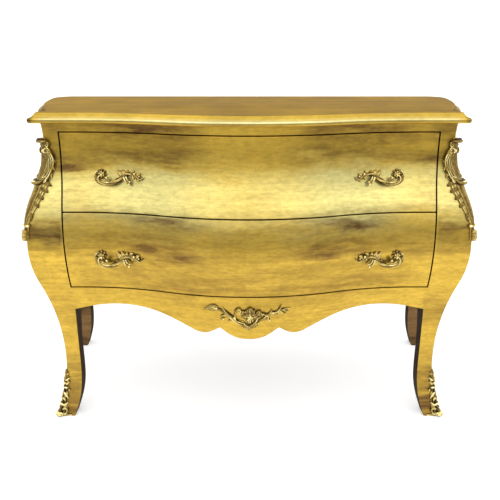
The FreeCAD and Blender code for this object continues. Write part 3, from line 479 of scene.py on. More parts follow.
# Rear posts: painted shade over the whole face, lifted by a painted highlight on the foot just above the
# floor
REAR_BANDS = ((((0, 1), (0.03, 1), (0.06, 0.35), (0.14, 0.35), (0.2, 1), (1, 1)), ALL),)
TOP_BANDS = ((((0, 0.76), (1, 0.76)), ALL),)
EDGE_BANDS = ((NOSE_LEVELS, ALL), (ALL, EAR_ASIDES))
RIM_BANDS = ((ALL, RIM_ASIDES),)
FRONT_HIGHLIGHT = (PAINTED_HIGHLIGHT_LEVELS, PAINTED_HIGHLIGHT_ASIDES)
SIDE_HIGHLIGHT = (PAINTED_HIGHLIGHT_LEVELS, ALL)
NOSE_HIGHLIGHT = (NOSE_HIGHLIGHT_LEVELS, NOSE_ASIDES)
NO_HIGHLIGHT = (NONE, NONE)
TOP_TINT = (0.50, 0.39, 0.22)


# Tones of the leaf: place in a noise and share of the light
LEAF_TONES = ((0.0, 0.9), (1.0, 1.0))
STREAK_TONES = ((0.3, 0.86), (0.7, 1.0))
SCRATCH_TONES = ((0.3, 0.92), (0.55, 1.0))
BLOTCH_TONES = ((0.34, 0.66), (0.6, 1.0))
WISP_PLACES = (0.38, 0.58)
MOTTLE_PLACES = (0.32, 0.62)
SOFT_MOTTLE = (0.84, 1.0)
STRONG_MOTTLE = (0.81, 1.07)
# Fineness of the noises in a metre along each axis, or along all of them
BLOTCH_SCALE = (4, 4, 13)
WISP_SCALE = (9, 9, 42)
UPRIGHT_STREAKS = (3, 3, 90)
LEVEL_STREAKS = (3, 90, 3)
EDGE_STREAKS = (4, 4, 60)
SCRATCH_SHARE = 4
MOTTLE_SCALE = 55
WAVER_SCALE = 9
GRAIN_SCALE = 260


def leaf_squares(tree, place, plane):
    """Chance level of each square of leaf, with wavering edges."""
    def sum_of(operation, *values):
        return maths(tree, operation, *values, kind="VectorMath")

    waver = add(tree, "TexNoise", {"Vector": place, "Scale": WAVER_SCALE}).outputs["Color"]
    shift = sum_of("MULTIPLY", waver, grey(LEAF_SIZE / 5))
    moved = sum_of("ADD", sum_of("MULTIPLY", place, plane), shift)
    square = sum_of("FLOOR", sum_of("DIVIDE", moved, grey(LEAF_SIZE)))
    return add(tree, "TexWhiteNoise", {"Vector": square}, noise_dimensions="3D").outputs["Value"]


def gold_leaf(name, plane, streak_scale, bands, pale=NO_HIGHLIGHT, light=GOLD_PAINTED_HIGHLIGHT, gold=GOLD, brown=GOLD_PAINTED_SHADE,
              drift=0.2, roughness=0.3, coat=0.1, tint=GOLD_TINT, wisp=0.5, mottle=SOFT_MOTTLE):
    """Gold leaf laid in squares, brushed and lacquered, with its brown laid in bands: painted shade and
    painted reflection on the case, an even tone on the top; its pale bands are painted highlights.
    """
    material, tree, surface = shader(name)
    place = object_place(tree)
    streaks = stretched(tree, streak_scale, 5)
    scratches = stretched(tree, [SCRATCH_SHARE * scale for scale in streak_scale], 3)
    spots = stretched(tree, [MOTTLE_SCALE + scale for scale in streak_scale], 5, 0.66)
    band_blotches = stretched(tree, BLOTCH_SCALE, 6, 0.62)
    wisps = stretched(tree, WISP_SCALE, 6, 0.65)
    axes = add(tree, "SeparateXYZ", {0: place})
    level = maths(tree, "DIVIDE", axes.outputs["Z"], TOP_HEIGHT)
    level = maths(tree, "MULTIPLY_ADD", band_blotches, drift, level)
    level = maths(tree, "SUBTRACT", level, drift / 2)
    across = maths(tree, "MULTIPLY_ADD", axes.outputs["X"], 0.5, 0.5)

    def band(levels, asides):
        stops = [((aside + 1) / 2, share) for aside, share in asides]
        return darkened(tree, table(tree, level, levels), across, stops)

    # Strength of the brown: the painted shade and reflection bands, broken up at random; on the top an even
    # tone
    shade_and_tone = grey(0)
    for levels, asides in bands:
        shade_and_tone = mixed(tree, 1.0, band(levels, asides), shade_and_tone, "LIGHTEN")
    shade_and_tone = darkened(tree, shade_and_tone, band_blotches, BLOTCH_TONES)
    shade_and_tone = darkened(tree, shade_and_tone, wisps, list(zip(WISP_PLACES, (wisp, 1.0))))
    # Painted highlight bands in the light colour
    colour = mixed(tree, band(*pale), gold, light)
    # Brown laid over the gold in the painted shade and reflection bands
    colour = mixed(tree, shade_and_tone, colour, brown)
    tones = ((streaks, STREAK_TONES), (scratches, SCRATCH_TONES),
             (leaf_squares(tree, place, plane), LEAF_TONES), (spots, list(zip(MOTTLE_PLACES, mottle))))
    for factor, stops in tones:
        colour = darkened(tree, colour, factor, stops)
    fill(tree, surface, {
        "Base Color": colour,
        "Roughness": table(tree, streaks, ((0.3, roughness + 0.1), (0.7, roughness))),
        "Metallic": 0.94,
        "Specular Tint": (*tint, 1),
        "Coat Weight": coat,
        "Coat Roughness": 0.2})
    roughen(tree, surface, maths(tree, "ADD", noise(tree, place, GRAIN_SCALE, 3), streaks), 0.12)
    return material


# Colours of the casting by its painted shading: painted shade in the recesses, painted highlights on the
# heights
BRASS_STOPS = ((0.19, (0.045, 0.027, 0.010)), (0.5, (0.40, 0.275, 0.07)), (0.75, (0.93, 0.75, 0.26)),
               (0.91, (1.0, 0.91, 0.50)))
BRASS_ROUGHNESS = ((0.1, 0.6), (0.8, 0.3))
BRASS_SPOT_SCALE = 140
BRASS_SPOT_SHARE = 0.45
BRASS_PIT_SCALE = 420


def cast_brass():
    """Gilt casting with random spots, painted highlights on its high places and painted shade in its
    recesses.
    """
    material, tree, surface = shader("cast_brass")
    painted_shading = add(tree, "Attribute", attribute_name="painted_shading").outputs["Fac"]
    place = object_place(tree)
    spots = maths(tree, "SUBTRACT", noise(tree, place, BRASS_SPOT_SCALE, 5), 0.5)
    level = maths(tree, "MULTIPLY_ADD", spots, BRASS_SPOT_SHARE, painted_shading)
    fill(tree, surface, {
        "Base Color": ramp(tree, level, BRASS_STOPS),
        "Roughness": table(tree, level, BRASS_ROUGHNESS),
        "Metallic": 0.9})
    roughen(tree, surface, noise(tree, place, BRASS_PIT_SCALE, 4), 0.25)
    return material


PORE_TONES = ((0.35, 0.72), (0.6, 1.0))
PORE_ROUGHNESS = ((0.3, 0.75), (0.7, 0.55))
PORE_SHARE = 7


def plain_wood(name, light, dark, grain_scale, shine=0.5):
    """Sawn wood with its grain along one axis."""
    material, tree, surface = shader(name)
    along = add(tree, "Mapping", {"Vector": object_place(tree), "Scale": grain_scale}).outputs["Vector"]
    rings = ramp(tree, noise(tree, along, 1, 6, 0.6), ((0.3, dark), (0.7, light)))
    pores = noise(tree, along, PORE_SHARE, 3)
    fill(tree, surface, {
        "Base Color": darkened(tree, rings, pores, PORE_TONES),
        "Roughness": table(tree, pores, PORE_ROUGHNESS),
        "Specular IOR Level": shine})
    roughen(tree, surface, pores, 0.2)
    return material


DARK_BROWN = ((0.05, 0.028, 0.014), (0.022, 0.012, 0.006))
CARCASS_BROWN = ((0.15, 0.085, 0.045), (0.075, 0.04, 0.021))
DRAWER_BROWN = ((0.48, 0.31, 0.165), (0.33, 0.195, 0.095))
GRAIN_ALONG_X = (2.5, 40, 40)
GRAIN_ALONG_Y = (40, 2.5, 40)
GRAIN_ALONG_Z = (40, 40, 2.5)
FACING = (1, 0, 1)
SIDEWAYS = (0, 1, 1)
LEVEL = (1, 1, 0)

gilt_front = gold_leaf("gilt_front", FACING, UPRIGHT_STREAKS, FRONT_BANDS, FRONT_HIGHLIGHT, mottle=STRONG_MOTTLE)
gilt_side = gold_leaf("gilt_side", SIDEWAYS, UPRIGHT_STREAKS, SIDE_BANDS, SIDE_HIGHLIGHT, mottle=STRONG_MOTTLE)
# Front faces of the rear posts, a copy of the gilding in painted shade
gilt_shaded_rear = gold_leaf("gilt_shaded_rear", FACING, UPRIGHT_STREAKS, REAR_BANDS, gold=REAR_SHADED_GOLD, brown=REAR_SHADOW_BROWN,
                      coat=0, tint=TOP_TINT)
gilt_top = gold_leaf("gilt_top", LEVEL, LEVEL_STREAKS, TOP_BANDS, brown=TOP_BROWN, roughness=0.36,
                     coat=0, tint=TOP_TINT, wisp=0.8)
# Front edge of the top: painted highlight along the nose, painted shade under it and on the ears
gilt_edge = gold_leaf("gilt_edge", LEVEL, EDGE_STREAKS, EDGE_BANDS, NOSE_HIGHLIGHT, NOSE_PAINTED_HIGHLIGHT, brown=EDGE_SHADE_BROWN,
                      drift=0, roughness=0.26)
# Rim of the top, browned, with painted shade on the ears
gilt_rim = gold_leaf("gilt_rim", SIDEWAYS, EDGE_STREAKS, RIM_BANDS, brown=EDGE_SHADE_BROWN, drift=0, coat=0,
                     tint=TOP_TINT)
brass = cast_brass()
dark_wood = plain_wood("dark_wood", *DARK_BROWN, GRAIN_ALONG_Z, 0.03)
rail_wood = plain_wood("rail_wood", *CARCASS_BROWN, GRAIN_ALONG_X)
runner_wood = plain_wood("runner_wood", *CARCASS_BROWN, GRAIN_ALONG_Y)
drawer_wood = plain_wood("drawer_wood", *DRAWER_BROWN, GRAIN_ALONG_X)
drawer_side_wood = plain_wood("drawer_side_wood", *DRAWER_BROWN, GRAIN_ALONG_Y)


# Case

FRONT_COLUMNS = 121
FRONT_ROWS = 41


def front_piece(name, node, half, columns, low_edge, high, body):
    """Piece of the bombé front, gilt outside and bare wood behind."""
    xs = spaced(-half, half, columns)
    outer = []
    for share in spaced(0, 1, FRONT_ROWS):
        outer.append([front_point(x, low_edge(x) + share * (high.z - low_edge(x))) for x in xs])
    inner = [[Vector((point.x, high.y - bow(point.x), point.z)) for point in row] for row in outer]
    fixed = body == "carcass"
    wood = rail_wood if fixed else drawer_wood
    slab_piece(name, node, outer, inner, body, [gilt_front, wood], half if fixed else None)


def make_fronts():
    """Drawer fronts, frieze and apron."""
    for drawer in DRAWERS:
        node = f"{drawer}_drawer_front"
        low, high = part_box(node)
        body = f"{drawer}_drawer"
        front_piece(f"{drawer}_front", node, FRONT_HALF, FRONT_COLUMNS, lambda x: low.z, high, body)
    low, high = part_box("frieze_rail")
    front_piece("frieze", "frieze_rail", OPENING_HALF, FRONT_COLUMNS, lambda x: low.z, high, "carcass")
    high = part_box("front_apron")[1]
    front_piece("apron", "front_apron", OPENING_HALF, 2 * FRONT_COLUMNS - 1, apron_edge, high, "carcass")


CORNER_POINTS = 5
LEG_RINGS = 81
# Materials round a post from its outer front corner: front, outer side, back and inner side, front
POST_KINDS = [0] * (CORNER_POINTS - 1) + [2] * CORNER_POINTS + [1] * (CORNER_POINTS + 1)
POST_KINDS += [0] * CORNER_POINTS


def arc_points(centre, radius, start, end, steps):
    """Points on a level arc."""
    angles = spaced(start, end, steps)
    return [centre + Vector((math.cos(angle), math.sin(angle), 0)) * radius for angle in angles]


def rounded_ring(x_inner, x_outer, y_front, y_back, z, radii):
    """Plan of a post with rounded corners, from its outer front corner round to its inner front corner."""
    corners = ((x_outer, y_front, 1, -1), (x_outer, y_back, 1, 1),
               (x_inner, y_back, -1, 1), (x_inner, y_front, -1, -1))
    ring = []
    for (x, y, way_x, way_y), radius, start in zip(corners, radii, (-90, 0, 90, 180)):
        centre = Vector((x - way_x * radius, y - way_y * radius, z))
        ring += arc_points(centre, radius, math.radians(start), math.radians(start + 90), CORNER_POINTS)
    return ring


def post_piece(name, node, ring_at, side, gilt):
    """Post and leg from rings of points, gilt outside and dark inside and behind."""
    heights = spaced(0, CASE_HEIGHT, LEG_RINGS)
    count = len(POST_KINDS)
    points = [Vector((side * point.x, point.y, point.z)) for z in heights for point in ring_at(z)]
    sole = tuple(range(count))
    head = tuple(range(len(points) - count, len(points)))
    faces = ring_faces(LEG_RINGS, count, side < 0) + [sole[::-side], head[::side]]
    kinds = POST_KINDS * (LEG_RINGS - 1) + [1, 1]
    piece = mesh_piece(name, points, faces, "carcass", [gilt, dark_wood, gilt_side], kinds)
    for edge in piece.data.edges:
        edge.use_edge_sharp = set(edge.vertices) <= set(sole + head)
    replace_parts(flatten(piece), node)


def front_ring(z):
    """Plan of the right front post at a height."""
    outer = swell(z)
    inset = leg_inset(z)
    radii = (ARRIS_RADIUS, EDGE_RADIUS, EDGE_RADIUS, EDGE_RADIUS if z < LEG_HEIGHT else EDGE_RADIUS / 5)
    back = POST_BACK_Y - inset
    return rounded_ring(OPENING_HALF + inset, NECK_HALF + outer, NECK_Y - outer, back, z, radii)


def rear_ring(z):
    """Plan of the right rear post at a height."""
    inner = REAR_HALF - POST_SIZE + leg_inset(z)
    return rounded_ring(inner, REAR_HALF + swell(z), REAR_POST_Y, BACK_Y, z, (EDGE_RADIUS,) * 4)


def make_posts():
    """Four posts with their legs."""
    for name, side in SIDES:
        post_piece(f"{name}_front_post", f"front_{name}_leg", front_ring, side, gilt_front)
        post_piece(f"{name}_rear_post", f"rear_{name}_leg", rear_ring, side, gilt_shaded_rear)


SIDE_COLUMNS = 33
SIDE_ROWS = 61


def side_arch(share):
    """Height of the side's arched lower edge along its depth."""
    radius = (SIDE_DEPTH ** 2 / 4 + SIDE_ARCH ** 2) / (2 * SIDE_ARCH)
    return LEG_HEIGHT + SIDE_ARCH - radius + math.sqrt(radius ** 2 - (share - 0.5) ** 2 * SIDE_DEPTH ** 2)


def make_sides():
    """Bombé sides, gilt outside and dark inside."""
    for name, side in SIDES:
        outer = []
        for row_share in spaced(0, 1, SIDE_ROWS):
            outer.append([])
            for share in spaced(0, 1, SIDE_COLUMNS):
                low = side_arch(share)
                z = low + row_share * (CASE_HEIGHT - low)
                x = NECK_HALF + share * SIDE_SPLAY + swell(z)
                outer[-1].append(Vector((side * x, POST_BACK_Y + share * SIDE_DEPTH, z)))
        inward = Vector((side * SIDE_THICKNESS, 0, 0))
        inner = [[point - inward for point in row] for row in outer]
        woods = [gilt_side, dark_wood]
        slab_piece(f"{name}_side", f"{name}_side_panel", outer, inner, "carcass", woods, flip=side < 0)


# Top

SERPENTINE_STEPS = 24
SIDE_STEPS = 24
EAR_RADIUS = 0.006
EAR_NOTCH = 0.016
BRIGHT_POINTS = 2 * SERPENTINE_STEPS + CORNER_POINTS // 2
NOTCH_STEPS = 8


def right_outline(grow):
    """Right half of the top's plan, from the middle of the front to the back."""
    middle = Vector((0, NECK_Y - FRONT_BOW + BOW_RADIUS, 0))
    hollow = Vector((BOW_REACH, NECK_Y - BOW_RADIUS, 0))
    quarter = math.pi / 2
    points = arc_points(middle, BOW_RADIUS + grow, -quarter, BOW_ANGLE - quarter, SERPENTINE_STEPS)
    points += arc_points(hollow, BOW_RADIUS - grow, quarter + BOW_ANGLE, quarter, SERPENTINE_STEPS)[1:]
    ear = Vector((NECK_HALF + grow, NECK_Y - grow, 0))
    points += arc_points(ear + Vector((-EAR_RADIUS, EAR_RADIUS, 0)), EAR_RADIUS, -quarter, 0, CORNER_POINTS)
    chord = Vector((SIDE_SPLAY, SIDE_DEPTH, 0))
    bend = (chord.length ** 2 / 4 + TOP_SIDE_BULGE ** 2) / (2 * TOP_SIDE_BULGE)
    inward = Vector((-chord.y, chord.x, 0)).normalized()
    centre = Vector((NECK_HALF, POST_BACK_Y, 0)) + chord / 2 + inward * (bend - TOP_SIDE_BULGE)
    back = BACK_Y + TOP_REAR_OVERHANG
    radius = bend + grow
    start = -math.acos((ear.x - centre.x) / radius)
    end = math.asin((back - TOP_CORNER_RADIUS - centre.y) / radius)
    side = arc_points(centre, radius, start, end, SIDE_STEPS)
    for number, point in enumerate(side):
        point.x -= EAR_NOTCH * (1 - number / (SIDE_STEPS - 1)) ** 3
    behind = points[-1].y
    for share in spaced(0, 1, NOTCH_STEPS)[1:-1]:
        dent = EAR_NOTCH * share ** 2 * (3 - 2 * share)
        points.append(Vector((ear.x - dent, behind + (side[0].y - behind) * share, 0)))
    points += side
    turn = side[-1] + Vector((-TOP_CORNER_RADIUS, 0, 0))
    points += arc_points(turn, TOP_CORNER_RADIUS, 0, quarter, 2 * CORNER_POINTS)[1:]
    return points


# Edge of the top from below: inset as a share of the nose's rounding, height as a share of the nose
NOSE_SHARES = ((1, 0), (0.45, 0.06), (0.12, 0.2), (0, 0.38), (0, 0.62), (0.12, 0.8), (0.45, 0.94), (1, 1))
# Hollow above it: run as a share of its width, rise as a share of its height
COVE_SHARES = ((0.08, 0.02), (0.2, 0.07), (0.4, 0.2), (0.62, 0.42), (0.8, 0.68), (0.93, 0.9), (1, 1))


def make_top():
    """Moulded top from rings of its plan."""
    nose_top = CASE_HEIGHT + NOSE_THICKNESS
    rise = TOP_THICKNESS - NOSE_THICKNESS
    levels = []
    for inset, up in NOSE_SHARES:
        levels.append((TOP_OVERHANG - NOSE_ROUND * inset, CASE_HEIGHT + NOSE_THICKNESS * up))
    for run, up in COVE_SHARES:
        levels.append((TOP_OVERHANG - NOSE_ROUND - COVE_WIDTH * run, nose_top + rise * up))
    points = []
    for grow, z in levels:
        right = right_outline(grow)
        ring = right + [Vector((-point.x, point.y, 0)) for point in right[:0:-1]]
        points += [Vector((point.x, point.y, z)) for point in ring]
    count = len(ring)
    faces = ring_faces(len(levels), count)
    faces += [tuple(range(count))[::-1], tuple(range(len(points) - count, len(points)))]
    kinds = [0 if min(column, count - 1 - column) < BRIGHT_POINTS else 2 for column in range(count)]
    kinds = kinds * (len(levels) - 1) + [0, 1]
    piece = mesh_piece("top", points, faces, "carcass", [gilt_edge, gilt_top, gilt_rim], kinds)
    for polygon in list(piece.data.polygons)[-2:]:
        polygon.use_smooth = False
    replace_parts(piece, "top_panel")


# Bare boards keep their solids

LENGTHWISE_BOARDS = ("rear_top_rail", "rear_middle_rail", "rear_bottom_rail", "back_panel", "bottom_board",
                     "divider_rail", "upper_drawer_stops", "lower_drawer_stops")


def dress_boards():
    """Wood of the boards that are seen as they are in the solids."""
    woods = {name: rail_wood for name in LENGTHWISE_BOARDS}
    for drawer in DRAWERS:
        for name in dict(SIDES):
            woods[f"{drawer}_{name}_runner"] = runner_wood
            woods[f"{name}_kicker"] = runner_wood
            woods[f"{drawer}_drawer_{name}_side"] = drawer_side_wood
        woods[f"{drawer}_drawer_back"] = drawer_wood
        woods[f"{drawer}_drawer_bottom"] = drawer_wood
    for name, wood in woods.items():
        NODES[name].data.materials.clear()
        NODES[name].data.materials.append(wood)


# Cast mounts, drawn in strokes of millimetres on the curved ground behind them

MM = 0.001
TUBE_SIDES = 12
CURVE_STEPS = 6
LEAF_STEPS = 7
PLATE_STEPS = 33
BEAD_STEPS = 9
BEAD_END = math.pi / 2 * 0.98
PETAL_STEPS = 8
LEAF_REACHES = (-1, -0.8, -0.5, -0.2, 0, 0.2, 0.5, 0.8, 1)
# Rosette from its rim inwards: reach as a share of its radius, height as a share of its rise
ROSETTE_SHARES = ((1, 0), (1, 0.62), (0.9, 0.78), (0.72, 0.7), (0.54, 0.62), (0.42, 0.82), (0.2, 1),
                  (0.02, 1.04))
SHORTEST = 1e-9
LEAST_TURN = 0.2
THINNEST = 0.05
NARROWEST = 0.1
GROOVE_DEPTH = 0.26
FULL_VEIN = 0.8
# Painted shading of the castings, from painted shade at 0 in the recesses to painted highlights at 1 on the
# heights
FOOT_SHADE = 0.02
PETAL_FOOT_SHADE = 0.03
TUBE_SHADING = 0.42
TUBE_TOP_HIGHLIGHT = 0.55
GROOVE_SHADE = 0.4
LEAF_SHADING = 0.38
VEIN_HIGHLIGHT = 0.5
LEAF_EDGE_HIGHLIGHT = 0.4
PLATE_SHADING = 0.32
PLATE_EDGE_HIGHLIGHT = 0.3
FLUTE_HIGHLIGHT = 0.28
BEAD_SHADING = 0.4
BEAD_TOP_HIGHLIGHT = 0.5


def smooth_path(knots, steps=CURVE_STEPS):
    """Points on a smooth curve through knots."""
    knots = [np.array(knot, float) for knot in knots]
    ends = [2 * knots[0] - knots[1]] + knots + [2 * knots[-1] - knots[-2]]
    path = []
    for before, start, end, after in zip(ends, ends[1:], ends[2:], ends[3:]):
        for number in range(steps):
            share = number / steps
            curve = (2 * before - 5 * start + 4 * end - after) * share ** 2
            twist = (3 * start - before - 3 * end + after) * share ** 3
            path.append((2 * start + (end - before) * share + curve + twist) / 2)
    path.append(knots[-1])
    return path


def spine(knots, steps):
    """Points on a smooth curve through knots, each with its direction."""
    path = smooth_path(knots, steps)
    return list(zip(path, np.gradient(np.array([knot[:3] for knot in path]), axis=0)))


class Casting:
    """Mesh of one mount: points on its ground, and the painted shading of each, dark in the recesses and
    light on the heights.
    """

    def __init__(self, ground, mirrored):
        self.ground = ground
        self.mirrored = mirrored
        self.points = []
        self.faces = []
        self.painted_shading = []

    def point(self, u, v, w, painted_shading):
        """New point on the ground or above it."""
        self.points.append(self.ground(u * MM, v * MM, max(w, 0) * MM))
        self.painted_shading.append(min(max(painted_shading, 0), 1))
        return len(self.points) - 1

    def skin(self, rows, closed=False):
        """Quads between rows of points."""
        for here, after in zip(rows, rows[1:]):
            pairs = list(zip(here, here[1:], after[1:], after))
            if closed:
                pairs.append((here[-1], here[0], after[0], after[-1]))
            self.faces += pairs

    def cap(self, row, flip=False):
        """Face over the end of a stroke."""
        self.faces.append(tuple(row[::-1] if flip else row))

    def tube(self, knots, strands=1, twist=0.0, tone=1.0):
        """Rounded strand through places with radii, grooved into several strands."""
        rows = []
        side = np.array((1.0, 0.0, 0.0))
        for number, (knot, run) in enumerate(spine(knots, CURVE_STEPS)):
            ahead = run / max(np.linalg.norm(run), SHORTEST)
            across = np.cross(ahead, (0, 0, 1))
            if np.linalg.norm(across) > LEAST_TURN:
                side = across / np.linalg.norm(across)
            lift = np.cross(side, ahead)
            row = []
            for turn in full_turn(TUBE_SIDES):
                groove = 0.5 - 0.5 * math.cos(strands * turn + twist * number) if strands > 1 else 1
                radius = max(knot[3], THINNEST) * (1 - GROOVE_DEPTH + GROOVE_DEPTH * groove)
                place = knot[:3] + radius * (side * math.cos(turn) + lift * math.sin(turn))
                # Painted highlight on the strand's top, painted shade towards the ground and in its grooves
                bright = TUBE_SHADING + TUBE_TOP_HIGHLIGHT * math.sin(turn)
                bright *= GROOVE_SHADE + (1 - GROOVE_SHADE) * groove
                row.append(self.point(*place, tone * bright))
            rows.append(row)
        self.skin(rows, True)
        self.cap(rows[0], True)
        self.cap(rows[-1])

    def leaf(self, knots, crown=2.0, lobes=0, depth=0.3, vein=FULL_VEIN, tone=1.0):
        """Leaf along a spine with half widths, arched, veined and lobed, with a skirt to the ground."""
        path = spine(knots, LEAF_STEPS)
        rows = []
        for number, (knot, run) in enumerate(path):
            share = number / (len(path) - 1)
            across = np.array((run[1], -run[0]))
            lobe = abs(math.sin(math.pi * lobes * share)) ** 0.6 if lobes else 1
            half = max(knot[3] * (1 - depth + depth * lobe), NARROWEST)
            aside = across / max(np.linalg.norm(across), SHORTEST) * half
            row = [self.point(*(knot[:2] - aside), 0, FOOT_SHADE)]
            for reach in LEAF_REACHES:
                edge = abs(reach) ** 3
                rib = vein * (1 - min(abs(reach) / 0.2, 1)) + 0.6 * vein * edge * lobe
                rise = knot[2] + crown * (1 - reach ** 2) * min(half / 3, 1) + rib
                # Painted highlight on the vein and raised edges, painted shade at the foot
                bright = VEIN_HIGHLIGHT * min(vein / FULL_VEIN, 1) * (1 - min(abs(reach) / 0.3, 1))
                bright += LEAF_SHADING + LEAF_EDGE_HIGHLIGHT * edge
                row.append(self.point(*(knot[:2] + aside * reach), rise, tone * bright * (0.5 + 0.5 * lobe)))
            row.append(self.point(*(knot[:2] + aside), 0, FOOT_SHADE))
            rows.append(row)
        self.skin(rows)
        self.cap(rows[0])
        self.cap(rows[-1])

    def plate(self, levels, flutes=0, tone=1.0, flute=1.0):
        """Body across a corner from heights, half widths and heights of middle and edge, hollow or fluted."""
        rows = []
        for height, half, middle, edge in smooth_path(levels):
            row = [self.point(-half, height, 0, FOOT_SHADE)]
            for reach in spaced(-1, 1, PLATE_STEPS):
                wave = flute * math.cos(2 * math.pi * flutes * reach) if flutes else 0
                rise = middle + (edge - middle) * reach ** 2 + 0.7 * wave
                # Painted highlight on the edges and the crests of the flutes, painted shade at the foot
                bright = PLATE_SHADING + PLATE_EDGE_HIGHLIGHT * abs(reach) ** 3 + FLUTE_HIGHLIGHT * wave
                row.append(self.point(reach * half, height, rise, tone * bright))
            row.append(self.point(half, height, 0, FOOT_SHADE))
            rows.append(row)
        self.skin([row[::-1] for row in rows])
        self.cap(rows[0])
        self.cap(rows[-1], True)

    def bead(self, u, v, w, radius):
        """Round bead, in painted shade below and with a painted highlight on top."""
        rows = []
        for height in spaced(-BEAD_END, BEAD_END, BEAD_STEPS):
            reach = radius * math.cos(height)
            rise = w + radius * math.sin(height)
            bright = BEAD_SHADING + BEAD_TOP_HIGHLIGHT * math.sin(height)
            row = []
            for turn in full_turn(TUBE_SIDES):
                row.append(self.point(u + reach * math.cos(turn), v + reach * math.sin(turn), rise, bright))
            rows.append(row)
        self.skin(rows, True)
        self.cap(rows[0], True)
        self.cap(rows[-1])

    def flower(self, u, v, radius, rise, petals, start=0.0, base=0.0, tone=1.0):
        """Cupped rosette with scalloped petals."""
        rows = []
        for share, lift in ROSETTE_SHARES:
            row = []
            for turn in full_turn(PETAL_STEPS * petals):
                petal = abs(math.sin(petals * (turn - start) / 2))
                reach = radius * share * (1 - 0.24 * (1 - petal ** 0.7) * share ** 2)
                dip = 0.32 * (1 - petal) if share > 0.45 and lift else 0
                # Painted shade at the foot of the rosette, painted highlights on its petals
                bright = PETAL_FOOT_SHADE
                if lift:
                    bright = tone * (0.2 + 0.65 * petal) * (0.55 + 0.5 * abs(share - 0.55))
                place = (u + reach * math.cos(turn), v + reach * math.sin(turn), base + rise * (lift - dip))
                row.append(self.point(*place, bright))
            rows.append(row)
        self.skin(rows, True)
        self.cap(rows[-1])

    def tubes(self, strokes, *shape):
        """Several strands alike."""
        for stroke in strokes:
            self.tube(stroke, *shape)

    def leaves(self, strokes, *shape, **more):
        """Several leaves alike."""
        for stroke in strokes:
            self.leaf(stroke, *shape, **more)

    def beads(self, places):
        """Several beads."""
        for place in places:
            self.bead(*place)

    def build(self, name, body, node=None):
        """Finished mount, in place of its solid where it has one."""
        faces = [face[::-1] for face in self.faces] if self.mirrored else self.faces
        piece = mesh_piece(name, self.points, faces, body, [brass])
        # Painted shading kept on each point for the casting's colour
        painted_shading = piece.data.attributes.new("painted_shading", "FLOAT", "POINT")
        painted_shading.data.foreach_set("value", self.painted_shading)
        if node:
            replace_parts(piece, node)


# Pulls: place along the drawer towards its middle, height, distance from the ground, radius or half width

PULL_PLACES = {"upper": (0.367, 0.700), "lower": (0.374, 0.501)}
PULL_SCROLL = ((-12, -3, 5, 1.4), (-12.8, -10, 8, 2.6), (-8.4, -17, 10, 3.4), (0, -21.4, 12, 4.0),
               (10, -23.4, 13, 4.4), (20, -23, 13, 5.0), (30, -20.6, 13, 5.8), (39, -17, 13, 6.6),
               (47, -12.6, 12, 6.2), (53, -7.4, 11, 5.2), (58.5, -2, 11, 5.0), (65, 2.2, 11, 4.8),
               (72.5, 3.6, 10, 4.2), (81, 2.0, 9, 3.6), (89, -2.4, 8, 3.2), (95, -7.2, 7, 2.8),
               (100.4, -9.6, 6, 2.3), (104.4, -7, 5.5, 2.0), (106.4, -2.2, 5.5, 1.0))
PULL_STRANDS = (
    ((-5, -4, 7, 1.4), (-6.6, -9.6, 9, 2.2), (-3, -15.6, 12, 2.6), (5, -19.4, 14, 2.8),
     (15, -20.6, 15, 2.6), (26, -19, 15, 1.0)),
    ((3, -12, 11, 1.2), (9, -15, 12, 2.0), (15.4, -14.2, 13, 2.4), (18.6, -10.8, 13, 2.8),
     (16.6, -7.8, 12, 2.6)),
    ((60, -6, 10, 3.2), (63.5, -12, 12, 3.0), (67.5, -18, 12, 2.5), (71.6, -21.6, 11, 2.2)),
    ((66, -4, 11, 2.6), (69, -10, 12, 2.4), (73.6, -15.4, 11, 2.0)),
    ((-9, 8, 4, 0.8), (-13.5, 4.5, 4, 1.8), (-15.4, -1.5, 5, 2.0), (-13, -6, 6, 1.6)),
    ((58, -4, 0, 6.0), (58, -4, 5, 5.0), (58, -4, 10, 4.4)),
    ((88, -2, 0, 4.8), (88, -2, 4, 4.0), (88, -2, 8, 3.2)))
PULL_LEAVES = (
    ((56, -7, 9, 2.6), (50, 1, 9, 3.4), (45.5, 6.8, 7, 2.4), (42.4, 11.8, 4, 0.4)),
    ((62, -1, 9, 2.6), (58, 5, 9, 3.2), (55.4, 9.6, 7, 2.0), (54, 13.6, 4, 0.4)),
    ((69, 2, 9, 2.4), (67, 7, 8, 2.8), (67.4, 12.4, 4, 0.4)),
    ((83, 1, 6, 2.4), (81.5, -4, 7, 3.4), (80, -10.5, 4, 0.5)),
    ((90, -2, 6, 2.4), (94.5, 2.4, 6, 3.0), (99.5, 5.4, 3, 0.4)),
    ((93, -6, 6, 2.2), (92.6, -11, 5, 2.8), (90.5, -16, 3, 0.4)),
    ((48, -16, 12, 2.6), (42.5, -12, 12, 3.2), (37.5, -11, 9, 0.5)),
    ((-10, -6, 5, 2.0), (-15, -7.4, 5, 2.2), (-18.6, -4.6, 3, 0.4)),
    ((-10, -10, 6, 2.0), (-14.6, -13, 5, 2.2), (-18, -11.8, 3, 0.4)),
    ((76, 4, 7, 2.2), (79.5, 9, 6, 2.4), (84, 11.4, 3, 0.4)))
PULL_BEADS = ((1.6, -1.8, 10.5, 3.4), (73, -22.4, 11, 3.2), (75, -16.4, 11, 2.6), (86.5, 3.4, 9, 3.4),
              (15.6, -8.4, 13, 3.2), (97.5, -2.4, 6, 2.4))


# Rosette and its heart: place, radius, rise, petals, turn and distance from the ground
PULL_ROSETTE = (0, 1, 13.4, 7.5, 8, 0.3, 0)
PULL_HEART = (1, 0, 7.8, 4, 6, 0.1, 6)
PULL_STRAND_WEIGHT = 1.25
PULL_LEAF_WEIGHT = 1.4


